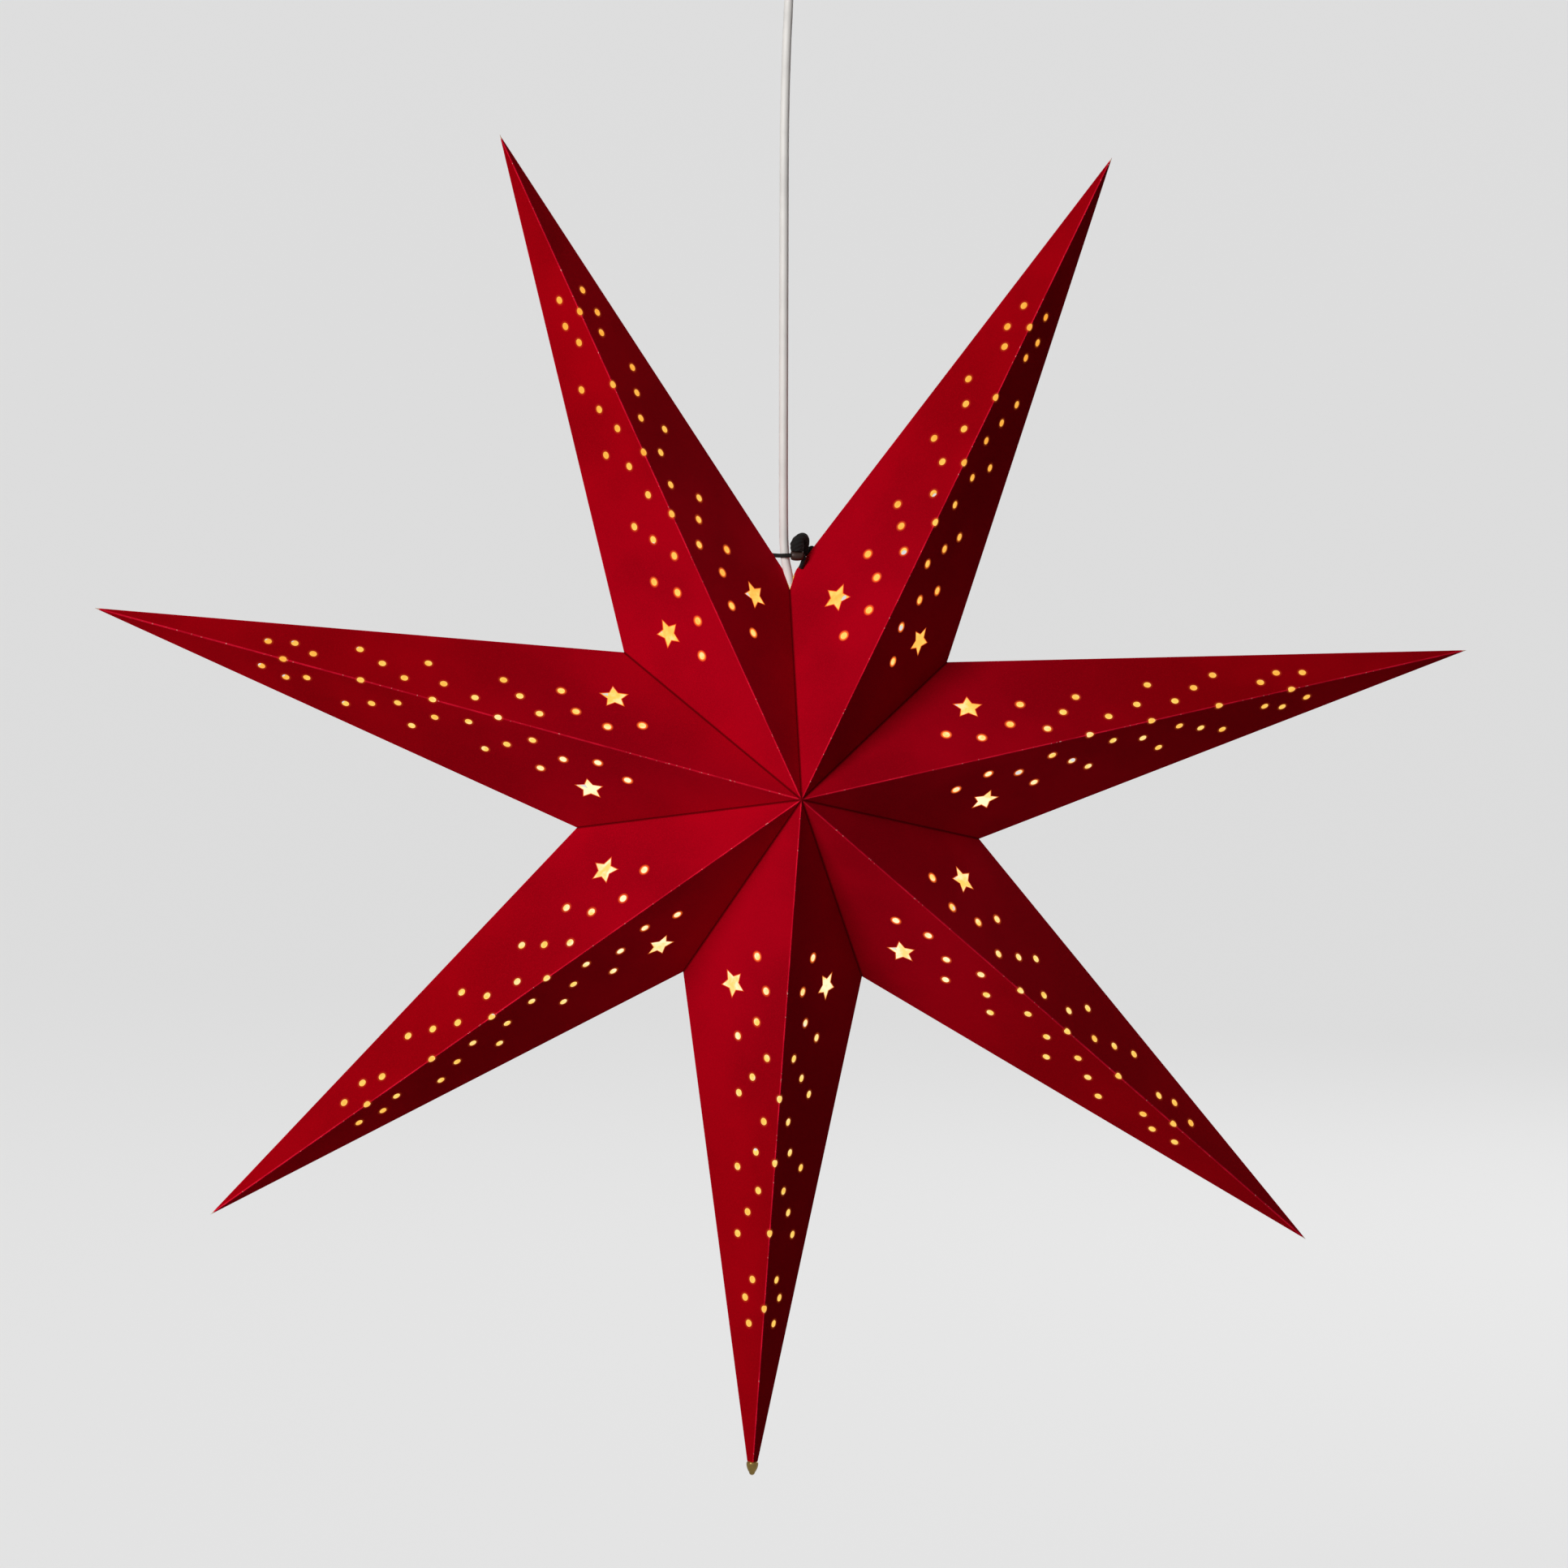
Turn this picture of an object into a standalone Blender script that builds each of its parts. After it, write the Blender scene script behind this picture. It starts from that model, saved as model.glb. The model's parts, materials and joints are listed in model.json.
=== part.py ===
"""Folding seven-armed paper advent star with its lamp, hanging on a cord from a ceiling cup.

Metres, +Z up. The origin is on the ceiling, in the middle of the bracket's top face. -Y is the front.
Arms are numbered clockwise seen from the front, from the one left of the top seam. An arm's right
side is its clockwise one.
"""

import math

import bmesh
import bpy
from mathutils import Matrix, Vector

# The star, measured from its middle
ARM_COUNT = 7
LOWEST_ARM = 5
ARM_REACH = 0.402
NOTCH_REACH = 0.118
HALF_DEPTH = 0.080
HANG_TILT = math.radians(2.4)
STAR_DROP = 0.530

# The paper
PAPER = 0.00025
CREASE_TRIM = 0.0002
CREASE_BEVEL = 0.0015
CORNER_CUT = 0.0020
CAPPED_TIP_CUT = 0.0043
SEAM_CLEARANCE = 0.0005
TIE_HOLE = 0.0042
TIE_HOLE_ALONG = 0.0217
TIE_HOLE_INSET = 0.0034

# The perforations, as shares of the way from the hub to the tip and from the hub to the notch
DOT = 0.0045
DOT_SIDES = 6
STAR_CUT = 0.0158
STAR_POINTS = 5
STAR_WAIST_SHARE = 0.55
STAR_CUT_SHARES = (0.135, 0.520)
DOT_SHARES = (
    (0.148, 0.309),
    (0.224, 0.203),
    (0.252, 0.270),
    (0.231, 0.438),
    (0.334, 0.149),
    (0.331, 0.273),
    (0.325, 0.390),
    (0.429, 0.135),
    (0.460, 0.189),
    (0.441, 0.353),
    (0.528, 0.140),
    (0.538, 0.226),
    (0.550, 0.306),
    (0.659, 0.134),
    (0.671, 0.191),
    (0.722, 0.138),
)
RIDGE_DOT_SHARES = (0.430, 0.523, 0.625, 0.735)

# The cap on the lowest tip
TIP_CAP_DIAMETER = 0.0068
TIP_CAP_END = 0.0040
TIP_CAP_LENGTH = 0.0077

# The cord
CORD = 0.0052
CORD_STEP = 0.014
CORD_CLEARANCE = 0.0003
TOUCH_GAP = 0.0003

# The ceiling cup and what is in it
CUP_DIAMETER = 0.084
CUP_HEIGHT = 0.036
CUP_WALL = 0.0015
CUP_EDGE = 0.008
BRACKET_CLEARANCE = 0.0010
BRACKET_WIDTH = 0.014
BRACKET_THICKNESS = 0.002
BRACKET_EAR = 0.013
CEILING_SCREW_SPACING = 0.048
CEILING_SCREW = 0.0040
CEILING_SCREW_LENGTH = 0.018
CEILING_SCREW_HEAD = 0.0076
SCREW_HEAD_HEIGHT = 0.0024
SCREW_SLOT = 0.0010
SCREW_CLEARANCE = 0.0003
CUP_SCREW = 0.0030
CUP_SCREW_LENGTH = 0.0070
CUP_SCREW_HEAD = 0.0058
CUP_SCREW_DROP = 0.0080
TERMINAL_LENGTH = 0.020
TERMINAL_WIDTH = 0.011
TERMINAL_HEIGHT = 0.013
TERMINAL_SCREW = 0.0030
TERMINAL_SCREW_SPACING = 0.010
TERMINAL_SCREW_DEPTH = 0.0030
TERMINAL_SCREW_HEIGHT = 0.0065

# The ball swivel in the cup's floor
BALL = 0.0130
BALL_TOP = 0.0050
SEAT_INNER = 0.0137
SEAT_OUTER = 0.0160
SOCKET = 0.0167
LIP_ANGLE = math.radians(50)
SEAT_TOP_ANGLE = math.radians(105)
HOUSING_DIAMETER = 0.0206
HOUSING_RISE = 0.0080
HOUSING_MOUTH = 0.0144
HOUSING_MOUTH_DROP = 0.0063
FLANGE_DIAMETER = 0.0280
FLANGE_HEIGHT = 0.0020
NUT_DIAMETER = 0.0300
NUT_HEIGHT = 0.0040
NECK = 0.0072
NECK_DROP = 0.0095
SLEEVE_TOP = 0.0088
SLEEVE_END = 0.0072
SLEEVE_LENGTH = 0.026
SLEEVE_GROOVES = 4
SLEEVE_GROOVE_DEPTH = 0.0006

# The lamp
HOLDER_TOP = 0.097
HOLDER_CAP_TOP = 0.013
HOLDER_CAP_HEIGHT = 0.020
HOLDER_DIAMETER = 0.0270
HOLDER_LENGTH = 0.040
HOLDER_WALL = 0.0022
HOLDER_FLOOR_HEIGHT = 0.0245
HOLDER_FLOOR = 0.0035
RING_DIAMETER = 0.0340
RING_HEIGHT = 0.0070
RING_RISE = 0.0080
SOCKET_CLEARANCE = 0.0008
CONTACT = 0.0060
CONTACT_RIVET = 0.0034
CONTACT_HEIGHT = 0.0020
BASE_DIAMETER = 0.0135
BASE_LENGTH = 0.0200
BASE_THREAD_LENGTH = 0.0154
BASE_PITCH = 0.0028
BASE_THREAD_DEPTH = 0.0005
BASE_WALL = 0.0008
BASE_END = 0.0070
BASE_END_HOLE = 0.0040
GLASS_DIAMETER = 0.0450
GLASS_DROP = 0.0330
GLASS_COLLAR = 0.0132
GLASS_NECK = 0.0108
GLASS_NECK_RISE = 0.008
GLASS_WALL = 0.0010
STEM = 0.0060
STEM_LENGTH = 0.026
BULB_TRAVEL = 0.026

# The tie at the top seam
STRING = 0.0024
LOOP_STRAND = 0.0034
LOOP_KNOT = 0.0074
BEAD_LENGTH = 0.0069
BEAD_DIAMETER = 0.0062
BEAD_BORE_CLEARANCE = 0.0003
BEAD_END = 0.0044
BEAD_SLICES = 6
BEAD_OFFSET = 0.0036
BEAD_DROP = 0.0030
BEAD_TRAVEL = 0.0015
STRING_ALONG_EDGE = 0.0150
STRING_OFF_EDGE = 0.0018
LOOP_RISE = 0.0083
LOOP_WIDTH = 0.0062
STRING_STEPS = 4

OVERRUN = 0.002
WELD = 0.000001
SMOOTH_ANGLE = math.radians(35)


# Materials


def material(name, colour, roughness, metallic=0.0, alpha=1.0):
    made = bpy.data.materials.new(name)
    made.use_nodes = True
    made.diffuse_color = (*colour, alpha)
    shader = made.node_tree.nodes["Principled BSDF"]
    shader.inputs["Base Color"].default_value = (*colour, 1.0)
    shader.inputs["Roughness"].default_value = roughness
    shader.inputs["Metallic"].default_value = metallic
    shader.inputs["Alpha"].default_value = alpha
    return made


FINISHES = {
    "paper": ((0.33, 0.0, 0.006), 0.85, 0.0),
    "brass": ((0.55, 0.33, 0.12), 0.28, 1.0),
    "steel": ((0.60, 0.60, 0.60), 0.35, 1.0),
    "white_enamel": ((0.85, 0.85, 0.83), 0.35, 0.0),
    "white_plastic": ((0.82, 0.82, 0.80), 0.45, 0.0),
    "white_cord": ((0.80, 0.80, 0.78), 0.55, 0.0),
    "black_elastic": ((0.012, 0.011, 0.010), 0.80, 0.0),
    "brown_bead": ((0.055, 0.028, 0.018), 0.20, 0.0),
    "glass": ((0.95, 0.93, 0.88), 0.10, 0.0, 0.4),
}


def finish(name, node):
    """Each sub-part gets a material of its own."""
    return material(node, *FINISHES[name])


# Building blocks


def clear_scene():
    for obj in list(bpy.data.objects):
        bpy.data.objects.remove(obj, do_unlink=True)


def hang_on(obj, parent):
    """Parents an object without moving it."""
    if parent is None:
        return obj
    world = obj.matrix_world.copy()
    obj.parent = parent
    obj.matrix_parent_inverse = parent.matrix_world.inverted()
    obj.matrix_world = world
    bpy.context.view_layer.update()
    return obj


def add(name, data, look=None, matrix=None, parent=None):
    obj = bpy.data.objects.new(name, data)
    if look:
        data.materials.append(finish(look, name))
    bpy.context.scene.collection.objects.link(obj)
    obj.matrix_world = matrix or Matrix.Identity(4)
    bpy.context.view_layer.update()
    return hang_on(obj, parent)


def as_cutter(obj):
    obj.hide_render = True
    obj.display_type = "WIRE"
    return obj


def combine(obj, other, operation):
    as_cutter(other)
    modifier = obj.modifiers.new(other.name, "BOOLEAN")
    modifier.operation = operation
    modifier.solver = "EXACT"
    modifier.object = other


def turned_mesh(name, profile, sides):
    """A solid turned about Z from (radius, height) points. An outline clear of the axis leaves a bore."""
    shape = bmesh.new()
    verts = [shape.verts.new((radius, 0, height)) for radius, height in profile]
    pairs = list(zip(verts, verts[1:] + verts[:1]))
    edges = [shape.edges.new(pair) for pair in pairs if pair[0].co.x or pair[1].co.x]
    bmesh.ops.spin(
        shape,
        geom=verts + edges,
        cent=(0, 0, 0),
        axis=(0, 0, 1),
        angle=math.tau,
        steps=sides,
        use_merge=True,
    )
    bmesh.ops.remove_doubles(shape, verts=shape.verts, dist=WELD)
    bmesh.ops.recalc_face_normals(shape, faces=shape.faces)
    mesh = bpy.data.meshes.new(name)
    shape.to_mesh(mesh)
    shape.free()
    mesh.shade_smooth()
    mesh.set_sharp_from_angle(angle=SMOOTH_ANGLE)
    return mesh


def turned(name, profile, look, matrix=None, parent=None, sides=20):
    return add(name, turned_mesh(name, profile, sides), look, matrix, parent)


def block(name, low, high, look=None, parent=None):
    shape = bmesh.new()
    bmesh.ops.create_cube(shape, size=1)
    low, high = Vector(low), Vector(high)
    for vert in shape.verts:
        vert.co = (low + high) / 2 + vert.co * (high - low)
    mesh = bpy.data.meshes.new(name)
    shape.to_mesh(mesh)
    shape.free()
    return add(name, mesh, look, None, parent)


def drill(name, radius, start, end, sides=16):
    """A round cutter from one point to another."""
    start, end = Vector(start), Vector(end)
    along = end - start
    profile = ((0, 0), (radius, 0), (radius, along.length), (0, along.length))
    turn = along.to_track_quat("Z", "Y").to_matrix().to_4x4()
    made = turned(name, profile, None, Matrix.Translation(start) @ turn, None, sides)
    return as_cutter(made)


def tube(name, points, diameter, look, parent=None, widths=None):
    """A round strand through world points, with closed ends. The widths are shares of its diameter."""
    curve = bpy.data.curves.new(name, "CURVE")
    curve.dimensions = "3D"
    curve.bevel_depth = diameter / 2
    curve.bevel_resolution = 2
    curve.use_fill_caps = True
    spline = curve.splines.new("POLY")
    spline.points.add(len(points) - 1)
    for target, point, width in zip(spline.points, points, widths or [1] * len(points)):
        target.co = (*point, 1)
        target.radius = width
    return add(name, curve, look, None, parent)


def eased(points, steps):
    """Points read from a smooth curve through the given ones."""
    ends = [2 * points[0] - points[1], *points, 2 * points[-1] - points[-2]]
    out = []
    for a, b, c, d in zip(ends, ends[1:], ends[2:], ends[3:]):
        for step in range(steps):
            t = step / steps
            run = 2 * b + (c - a) * t + (2 * a - 5 * b + 4 * c - d) * t**2
            out.append((run + (3 * b - a - 3 * c + d) * t**3) / 2)
    return [*out, points[-1]]


def straight(start, end, step):
    count = max(1, round((end - start).length / step))
    return [start.lerp(end, k / count) for k in range(count + 1)]


def arc(radius, start, end, steps, height=0):
    """(radius, height) points on an arc about the axis, its angles counted from straight down."""
    angles = [start + (end - start) * step / steps for step in range(steps + 1)]
    return [(radius * math.sin(a), height - radius * math.cos(a)) for a in angles]


# Places that the pieces share

ARM_STEP = math.tau / ARM_COUNT
DOWN = Vector((0, 0, -1))
SEAM_POINT = STAR_DROP * DOWN - NOTCH_REACH * math.cos(HANG_TILT) * DOWN
STAR_MIDDLE = SEAM_POINT - NOTCH_REACH * Vector((math.sin(HANG_TILT), 0, math.cos(HANG_TILT)))
FRONT_HUB = STAR_MIDDLE - Vector((0, HALF_DEPTH, 0))
BACK_HUB = STAR_MIDDLE + Vector((0, HALF_DEPTH, 0))
PIVOT = (CUP_HEIGHT + TOUCH_GAP - HOUSING_MOUTH_DROP + FLANGE_HEIGHT) * DOWN
CORD_TOP = PIVOT - BALL_TOP / 2 * DOWN
HOLDER_TOP_POINT = Vector((0, 0, STAR_MIDDLE.z + HOLDER_TOP))
CORD_END = HOLDER_TOP_POINT + HOLDER_CAP_HEIGHT / 2 * DOWN
HOLDER_FOOT = HOLDER_TOP_POINT + (HOLDER_CAP_HEIGHT + TOUCH_GAP + HOLDER_LENGTH) * DOWN


def around(reach, steps):
    """A point in the star's middle plane, counted clockwise in arms from the top seam."""
    angle = steps * ARM_STEP + HANG_TILT
    return STAR_MIDDLE + reach * Vector((math.sin(angle), 0, math.cos(angle)))


def tip_of(arm):
    return around(ARM_REACH, arm - 1.5)


def notch_after(arm):
    return around(NOTCH_REACH, arm - 1)


def beside_seam(arm, right):
    return (arm, right) in ((1, True), (2, False))


def facet_corners(arm, front, right):
    hub = FRONT_HUB if front else BACK_HUB
    return hub, tip_of(arm), notch_after(arm if right else arm - 1)


def facet_frame(corners, hinge):
    """A frame on the crease where a facet turns: X along the crease, Z out of the star."""
    hub, tip, notch = corners
    start, end = {"ridge": (hub, tip), "valley": (hub, notch), "edge": (tip, notch)}[hinge]
    x = (end - start).normalized()
    z = (tip - hub).cross(notch - hub).normalized()
    if z.dot(hub - STAR_MIDDLE) < 0:
        z = -z
    turn = Matrix((x, z.cross(x), z)).transposed().to_4x4()
    return Matrix.Translation(start) @ turn


def tie_hole(corners):
    """The hole for the tie, near the seam and close to the facet's outer edge."""
    hub, tip, notch = corners
    along = (tip - notch).normalized()
    inward = (hub - notch) - (hub - notch).dot(along) * along
    return notch + along * TIE_HOLE_ALONG + inward.normalized() * TIE_HOLE_INSET


# The paper


def clip(outline, point, inward):
    """The part of a convex outline on the inward side of a line through the point."""
    kept = []
    for here, after in zip(outline, outline[1:] + outline[:1]):
        a, b = (here - point).dot(inward), (after - point).dot(inward)
        if a >= 0:
            kept.append(here)
        if a * b < 0:
            kept.append(here.lerp(after, a / (a - b)))
    return kept


def bisector(corner, corners):
    others = [other for other in corners if other != corner]
    return sum(((other - corner).normalized() for other in others), corner * 0).normalized()


def cut_length(corner, corners, width):
    """How far along its bisector a corner is cut off where the cut is this wide."""
    inward = bisector(corner, corners)
    other = next(other for other in corners if other != corner)
    return width / 2 / math.tan(inward.angle(other - corner))


def trimmed(corners, trims, cuts):
    """A triangle pulled in from its edges and cut off square at its corners."""
    centre = sum(corners, Vector((0, 0))) / len(corners)
    outline = list(corners)
    for start, end, trim in zip(corners, corners[1:] + corners[:1], trims):
        inward = (end - start).orthogonal().normalized()
        if inward.dot(centre - start) < 0:
            inward = -inward
        outline = clip(outline, start + inward * trim, inward)
    for corner, length in zip(corners, cuts):
        if length:
            inward = bisector(corner, corners)
            outline = clip(outline, corner + inward * length, inward)
    return outline


def facet_mesh(name, outer, inner):
    """A thin plate whose outer and inner faces differ in outline where a crease is bevelled."""
    shape = bmesh.new()
    top = [shape.verts.new((*point, PAPER / 2)) for point in outer]
    under = [shape.verts.new((*point, -PAPER / 2)) for point in inner]
    shape.faces.new(top)
    shape.faces.new(under[::-1])
    for k, corner in enumerate(top):
        shape.faces.new((corner, top[k - 1], under[k - 1], under[k]))
    bmesh.ops.recalc_face_normals(shape, faces=shape.faces)
    mesh = bpy.data.meshes.new(name)
    shape.to_mesh(mesh)
    shape.free()
    return mesh


def ring_of_points(reach, waist, count, turn):
    """Points round a circle, every other one drawn in to the waist."""
    return [
        Vector((math.cos(turn + k * math.tau / count), math.sin(turn + k * math.tau / count)))
        * (waist if k % 2 else reach)
        for k in range(count)
    ]


def prism(shape, outline, place):
    """Adds a closed upright prism through the paper to a bmesh."""
    low = [shape.verts.new((*(point + place), -OVERRUN)) for point in outline]
    high = [shape.verts.new((*(point + place), OVERRUN)) for point in outline]
    shape.faces.new(low[::-1])
    shape.faces.new(high)
    for k, corner in enumerate(low):
        shape.faces.new((low[k - 1], corner, high[k], high[k - 1]))


def perforations(name, corners, holes):
    """One facet's cutter, in the facet's own plane."""
    hub, tip, notch = corners
    ridge, valley = tip - hub, notch - hub
    shape = bmesh.new()
    places = [hub + ridge * a + valley * b for a, b in DOT_SHARES]
    places += [hub + ridge * share for share in RIDGE_DOT_SHARES]
    along = math.atan2(ridge.y, ridge.x)
    dot = ring_of_points(DOT / 2, DOT / 2, DOT_SIDES, along)
    for place in places:
        prism(shape, dot, place)
    reach = STAR_CUT / 2
    star = ring_of_points(reach, reach * STAR_WAIST_SHARE, STAR_POINTS * 2, along)
    prism(shape, star, hub + ridge * STAR_CUT_SHARES[0] + valley * STAR_CUT_SHARES[1])
    for place in holes:
        prism(shape, ring_of_points(TIE_HOLE / 2, TIE_HOLE / 2, DOT_SIDES, 0), place)
    bmesh.ops.recalc_face_normals(shape, faces=shape.faces)
    mesh = bpy.data.meshes.new(name)
    shape.to_mesh(mesh)
    shape.free()
    return mesh


def facet(arm, front, right, hinge, parent):
    """One of an arm's four sheets between folds, which turns against its parent on the hinge crease.

    A ridge closes on its inner side and a valley on its outer side, so each is bevelled there.
    """
    place = ("front" if front else "back") + ("_right" if right else "_left")
    name = f"arm_{arm}_{place}"
    corners = facet_corners(arm, front, right)
    frame = facet_frame(corners, hinge)
    flat = [(frame.inverted() @ corner).to_2d() for corner in corners]
    tip_cut = CAPPED_TIP_CUT if arm == LOWEST_ARM else CORNER_CUT
    cuts = [
        cut_length(flat[0], flat, CORNER_CUT),
        cut_length(flat[1], flat, tip_cut),
        CORD / 2 + SEAM_CLEARANCE if beside_seam(arm, right) else 0,
    ]
    outer = trimmed(flat, (CREASE_TRIM, CREASE_TRIM, CREASE_BEVEL), cuts)
    inner = trimmed(flat, (CREASE_BEVEL, CREASE_TRIM, CREASE_TRIM), cuts)
    made = add(name, facet_mesh(name, outer, inner), "paper", frame, parent)
    holes = []
    if not front and beside_seam(arm, right):
        holes.append((frame.inverted() @ tie_hole(corners)).to_2d())
    cutter = add(name + "_holes", perforations(name, flat, holes), None, frame, made)
    combine(made, cutter, "DIFFERENCE")
    return made


def paper_star(carrier):
    """Front facets chained both ways round from the lowest arm's ridge, with the back ones on their edges."""
    made = {}
    for way in (1, -1):
        arm, parent = LOWEST_ARM, carrier
        for step in range(ARM_COUNT):
            on_ridge = step % 2 == 0
            if not on_ridge:
                arm = (arm - 1 + way) % ARM_COUNT + 1
            right = on_ridge == (way > 0)
            parent = facet(arm, True, right, "ridge" if on_ridge else "valley", parent)
            made[arm, right] = facet(arm, False, right, "edge", parent)
    return made


# The ceiling fitting


def ceiling_cup():
    radius = CUP_DIAMETER / 2
    inside = radius - CUP_WALL
    hole = HOUSING_DIAMETER / 2 + TOUCH_GAP
    bend = CUP_EDGE - CUP_WALL
    quarter = [(math.sin(a), math.cos(a)) for a in (k * math.pi / 8 for k in range(5))]
    profile = [(inside, 0), (radius, 0)]
    profile += [
        (radius - CUP_EDGE * (1 - c), -CUP_HEIGHT + CUP_EDGE * (1 - s)) for s, c in quarter
    ]
    profile += [(hole, -CUP_HEIGHT), (hole, -CUP_HEIGHT + CUP_WALL)]
    profile += [
        (inside - bend * (1 - c), -CUP_HEIGHT + CUP_WALL + bend * (1 - s))
        for s, c in reversed(quarter)
    ]
    cup = turned("ceiling_cup", profile, "white_enamel", sides=32)
    for side in (-1, 1):
        start, end = (Vector((side * x, 0, -CUP_SCREW_DROP)) for x in (inside / 2, CUP_DIAMETER))
        hole = drill("cup_screw_hole", CUP_SCREW / 2 + SCREW_CLEARANCE, start, end)
        combine(cup, hole, "DIFFERENCE")
    return cup


def bracket(cup):
    half = CUP_DIAMETER / 2 - CUP_WALL - BRACKET_CLEARANCE
    wide = BRACKET_WIDTH / 2
    bar = block("bracket", (-half, -wide, -BRACKET_THICKNESS), (half, wide, 0), "steel", cup)
    for side in (-1, 1):
        inner = side * (half - BRACKET_THICKNESS)
        low = (min(inner, side * half), -wide, -BRACKET_EAR)
        high = (max(inner, side * half), wide, -BRACKET_THICKNESS / 2)
        combine(bar, block("bracket_ear", low, high, parent=bar), "UNION")
        reach = Vector((side * (half + OVERRUN), 0, -CUP_SCREW_DROP))
        back = Vector((side * half / 2, 0, -CUP_SCREW_DROP))
        hole = drill("bracket_ear_hole", CUP_SCREW / 2 + SCREW_CLEARANCE, back, reach)
        combine(bar, hole, "DIFFERENCE")
        x = side * CEILING_SCREW_SPACING / 2
        top, foot = Vector((x, 0, OVERRUN)), Vector((x, 0, -BRACKET_THICKNESS - OVERRUN))
        hole = drill("bracket_hole", CEILING_SCREW / 2 + SCREW_CLEARANCE, foot, top)
        combine(bar, hole, "DIFFERENCE")
    return bar


def screw(name, head, shank, length, matrix, parent):
    """A round-headed screw whose head rests on z = 0 of its matrix, with the shank along +Z."""
    dome = [(head / 2 * math.cos(a), -SCREW_HEAD_HEIGHT * math.sin(a)) for a in (0.5, 1.0)]
    point = length - shank
    profile = [(0, -SCREW_HEAD_HEIGHT), *reversed(dome), (head / 2, 0), (shank / 2, 0)]
    profile += [(shank / 2, point), (0, length)]
    made = turned(name, profile, "steel", matrix, parent, 12)
    slot = block(name + "_slot", (-head, -SCREW_SLOT / 2, -SCREW_HEAD_HEIGHT * 2),
                 (head, SCREW_SLOT / 2, -SCREW_HEAD_HEIGHT / 2))
    slot.matrix_world = matrix
    bpy.context.view_layer.update()
    combine(made, hang_on(slot, made), "DIFFERENCE")
    return made


def screws(cup):
    up = Matrix.Identity(4)
    for side, word in ((-1, "left"), (1, "right")):
        place = Vector((side * CEILING_SCREW_SPACING / 2, 0, -BRACKET_THICKNESS - TOUCH_GAP))
        matrix = Matrix.Translation(place) @ up
        screw(f"ceiling_screw_{word}", CEILING_SCREW_HEAD, CEILING_SCREW,
              CEILING_SCREW_LENGTH, matrix, cup)
        place = Vector((side * (CUP_DIAMETER / 2 + TOUCH_GAP), 0, -CUP_SCREW_DROP))
        matrix = Matrix.Translation(place) @ Matrix.Rotation(-side * math.pi / 2, 4, "Y")
        screw(f"cup_screw_{word}", CUP_SCREW_HEAD, CUP_SCREW, CUP_SCREW_LENGTH, matrix, cup)


def terminal_block(cup):
    top = -BRACKET_THICKNESS - TOUCH_GAP
    half, wide = TERMINAL_LENGTH / 2, TERMINAL_WIDTH / 2
    body = block("terminal_block", (-half, -wide, top - TERMINAL_HEIGHT), (half, wide, top),
                 "white_plastic", cup)
    bore = TERMINAL_SCREW / 2 + SCREW_CLEARANCE
    for side, word in ((-1, "left"), (1, "right")):
        x = side * TERMINAL_SCREW_SPACING / 2
        face = Vector((x, -wide, top - TERMINAL_SCREW_HEIGHT))
        seat = face + Vector((0, TERMINAL_SCREW_DEPTH + TOUCH_GAP, 0))
        combine(body, drill("terminal_bore", bore, face - Vector((0, OVERRUN, 0)), seat), "DIFFERENCE")
        matrix = Matrix.Translation(face) @ Matrix.Rotation(-math.pi / 2, 4, "X")
        profile = ((0, 0), (TERMINAL_SCREW / 2, 0), (TERMINAL_SCREW / 2, TERMINAL_SCREW_DEPTH),
                   (0, TERMINAL_SCREW_DEPTH))
        turned(f"terminal_screw_{word}", profile, "brass", matrix, body, 12)
    foot = Vector((0, 0, top - TERMINAL_HEIGHT - TOUCH_GAP))
    tail_end = PIVOT - (BALL / 2 + TOUCH_GAP * 2) * DOWN
    tube("cord_tail", straight(foot, tail_end, CORD_STEP), CORD, "white_cord", body)


def swivel_housing(cup):
    """The socket screwed through the cup's floor. Its heights count from the swivel's pivot."""
    lip = arc(SOCKET / 2, LIP_ANGLE, math.pi / 2, 4)
    foot, bolt = -HOUSING_MOUTH_DROP, HOUSING_DIAMETER / 2
    profile = [
        (HOUSING_MOUTH / 2, foot),
        (FLANGE_DIAMETER / 2, foot),
        (FLANGE_DIAMETER / 2, foot + FLANGE_HEIGHT),
        (bolt, foot + FLANGE_HEIGHT),
        (bolt, HOUSING_RISE),
        (SOCKET / 2, HOUSING_RISE),
        *reversed(lip),
    ]
    at = Matrix.Translation(PIVOT)
    housing = turned("swivel_housing", profile, "white_plastic", at, cup)
    low = -PIVOT.z - CUP_HEIGHT + CUP_WALL + TOUCH_GAP
    hole = bolt + TOUCH_GAP
    nut = [(hole, low), (NUT_DIAMETER / 2, low), (NUT_DIAMETER / 2, low + NUT_HEIGHT), (hole, low + NUT_HEIGHT)]
    turned("housing_nut", nut, "steel", at, cup)
    return housing


def swivel_seat(parent):
    """The slip ring between socket and ball. Both its faces are parts of spheres about the pivot."""
    outer = arc(SEAT_OUTER / 2, LIP_ANGLE, SEAT_TOP_ANGLE, 5)
    inner = arc(SEAT_INNER / 2, LIP_ANGLE, SEAT_TOP_ANGLE, 5)
    profile = [*outer, *reversed(inner)]
    return turned("swivel_seat", profile, "white_plastic", Matrix.Translation(PIVOT), parent, 16)


def swivel_ball(parent):
    radius, bore = BALL / 2, CORD / 2 + CORD_CLEARANCE
    top = math.pi - math.acos(BALL_TOP / radius)
    ball = arc(radius, math.asin(NECK / BALL), top, 7)
    profile = [(bore, -NECK_DROP), (NECK / 2, -NECK_DROP), *ball, (bore, BALL_TOP)]
    return turned("swivel_ball", profile, "white_plastic", Matrix.Translation(PIVOT), parent, 16)


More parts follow.
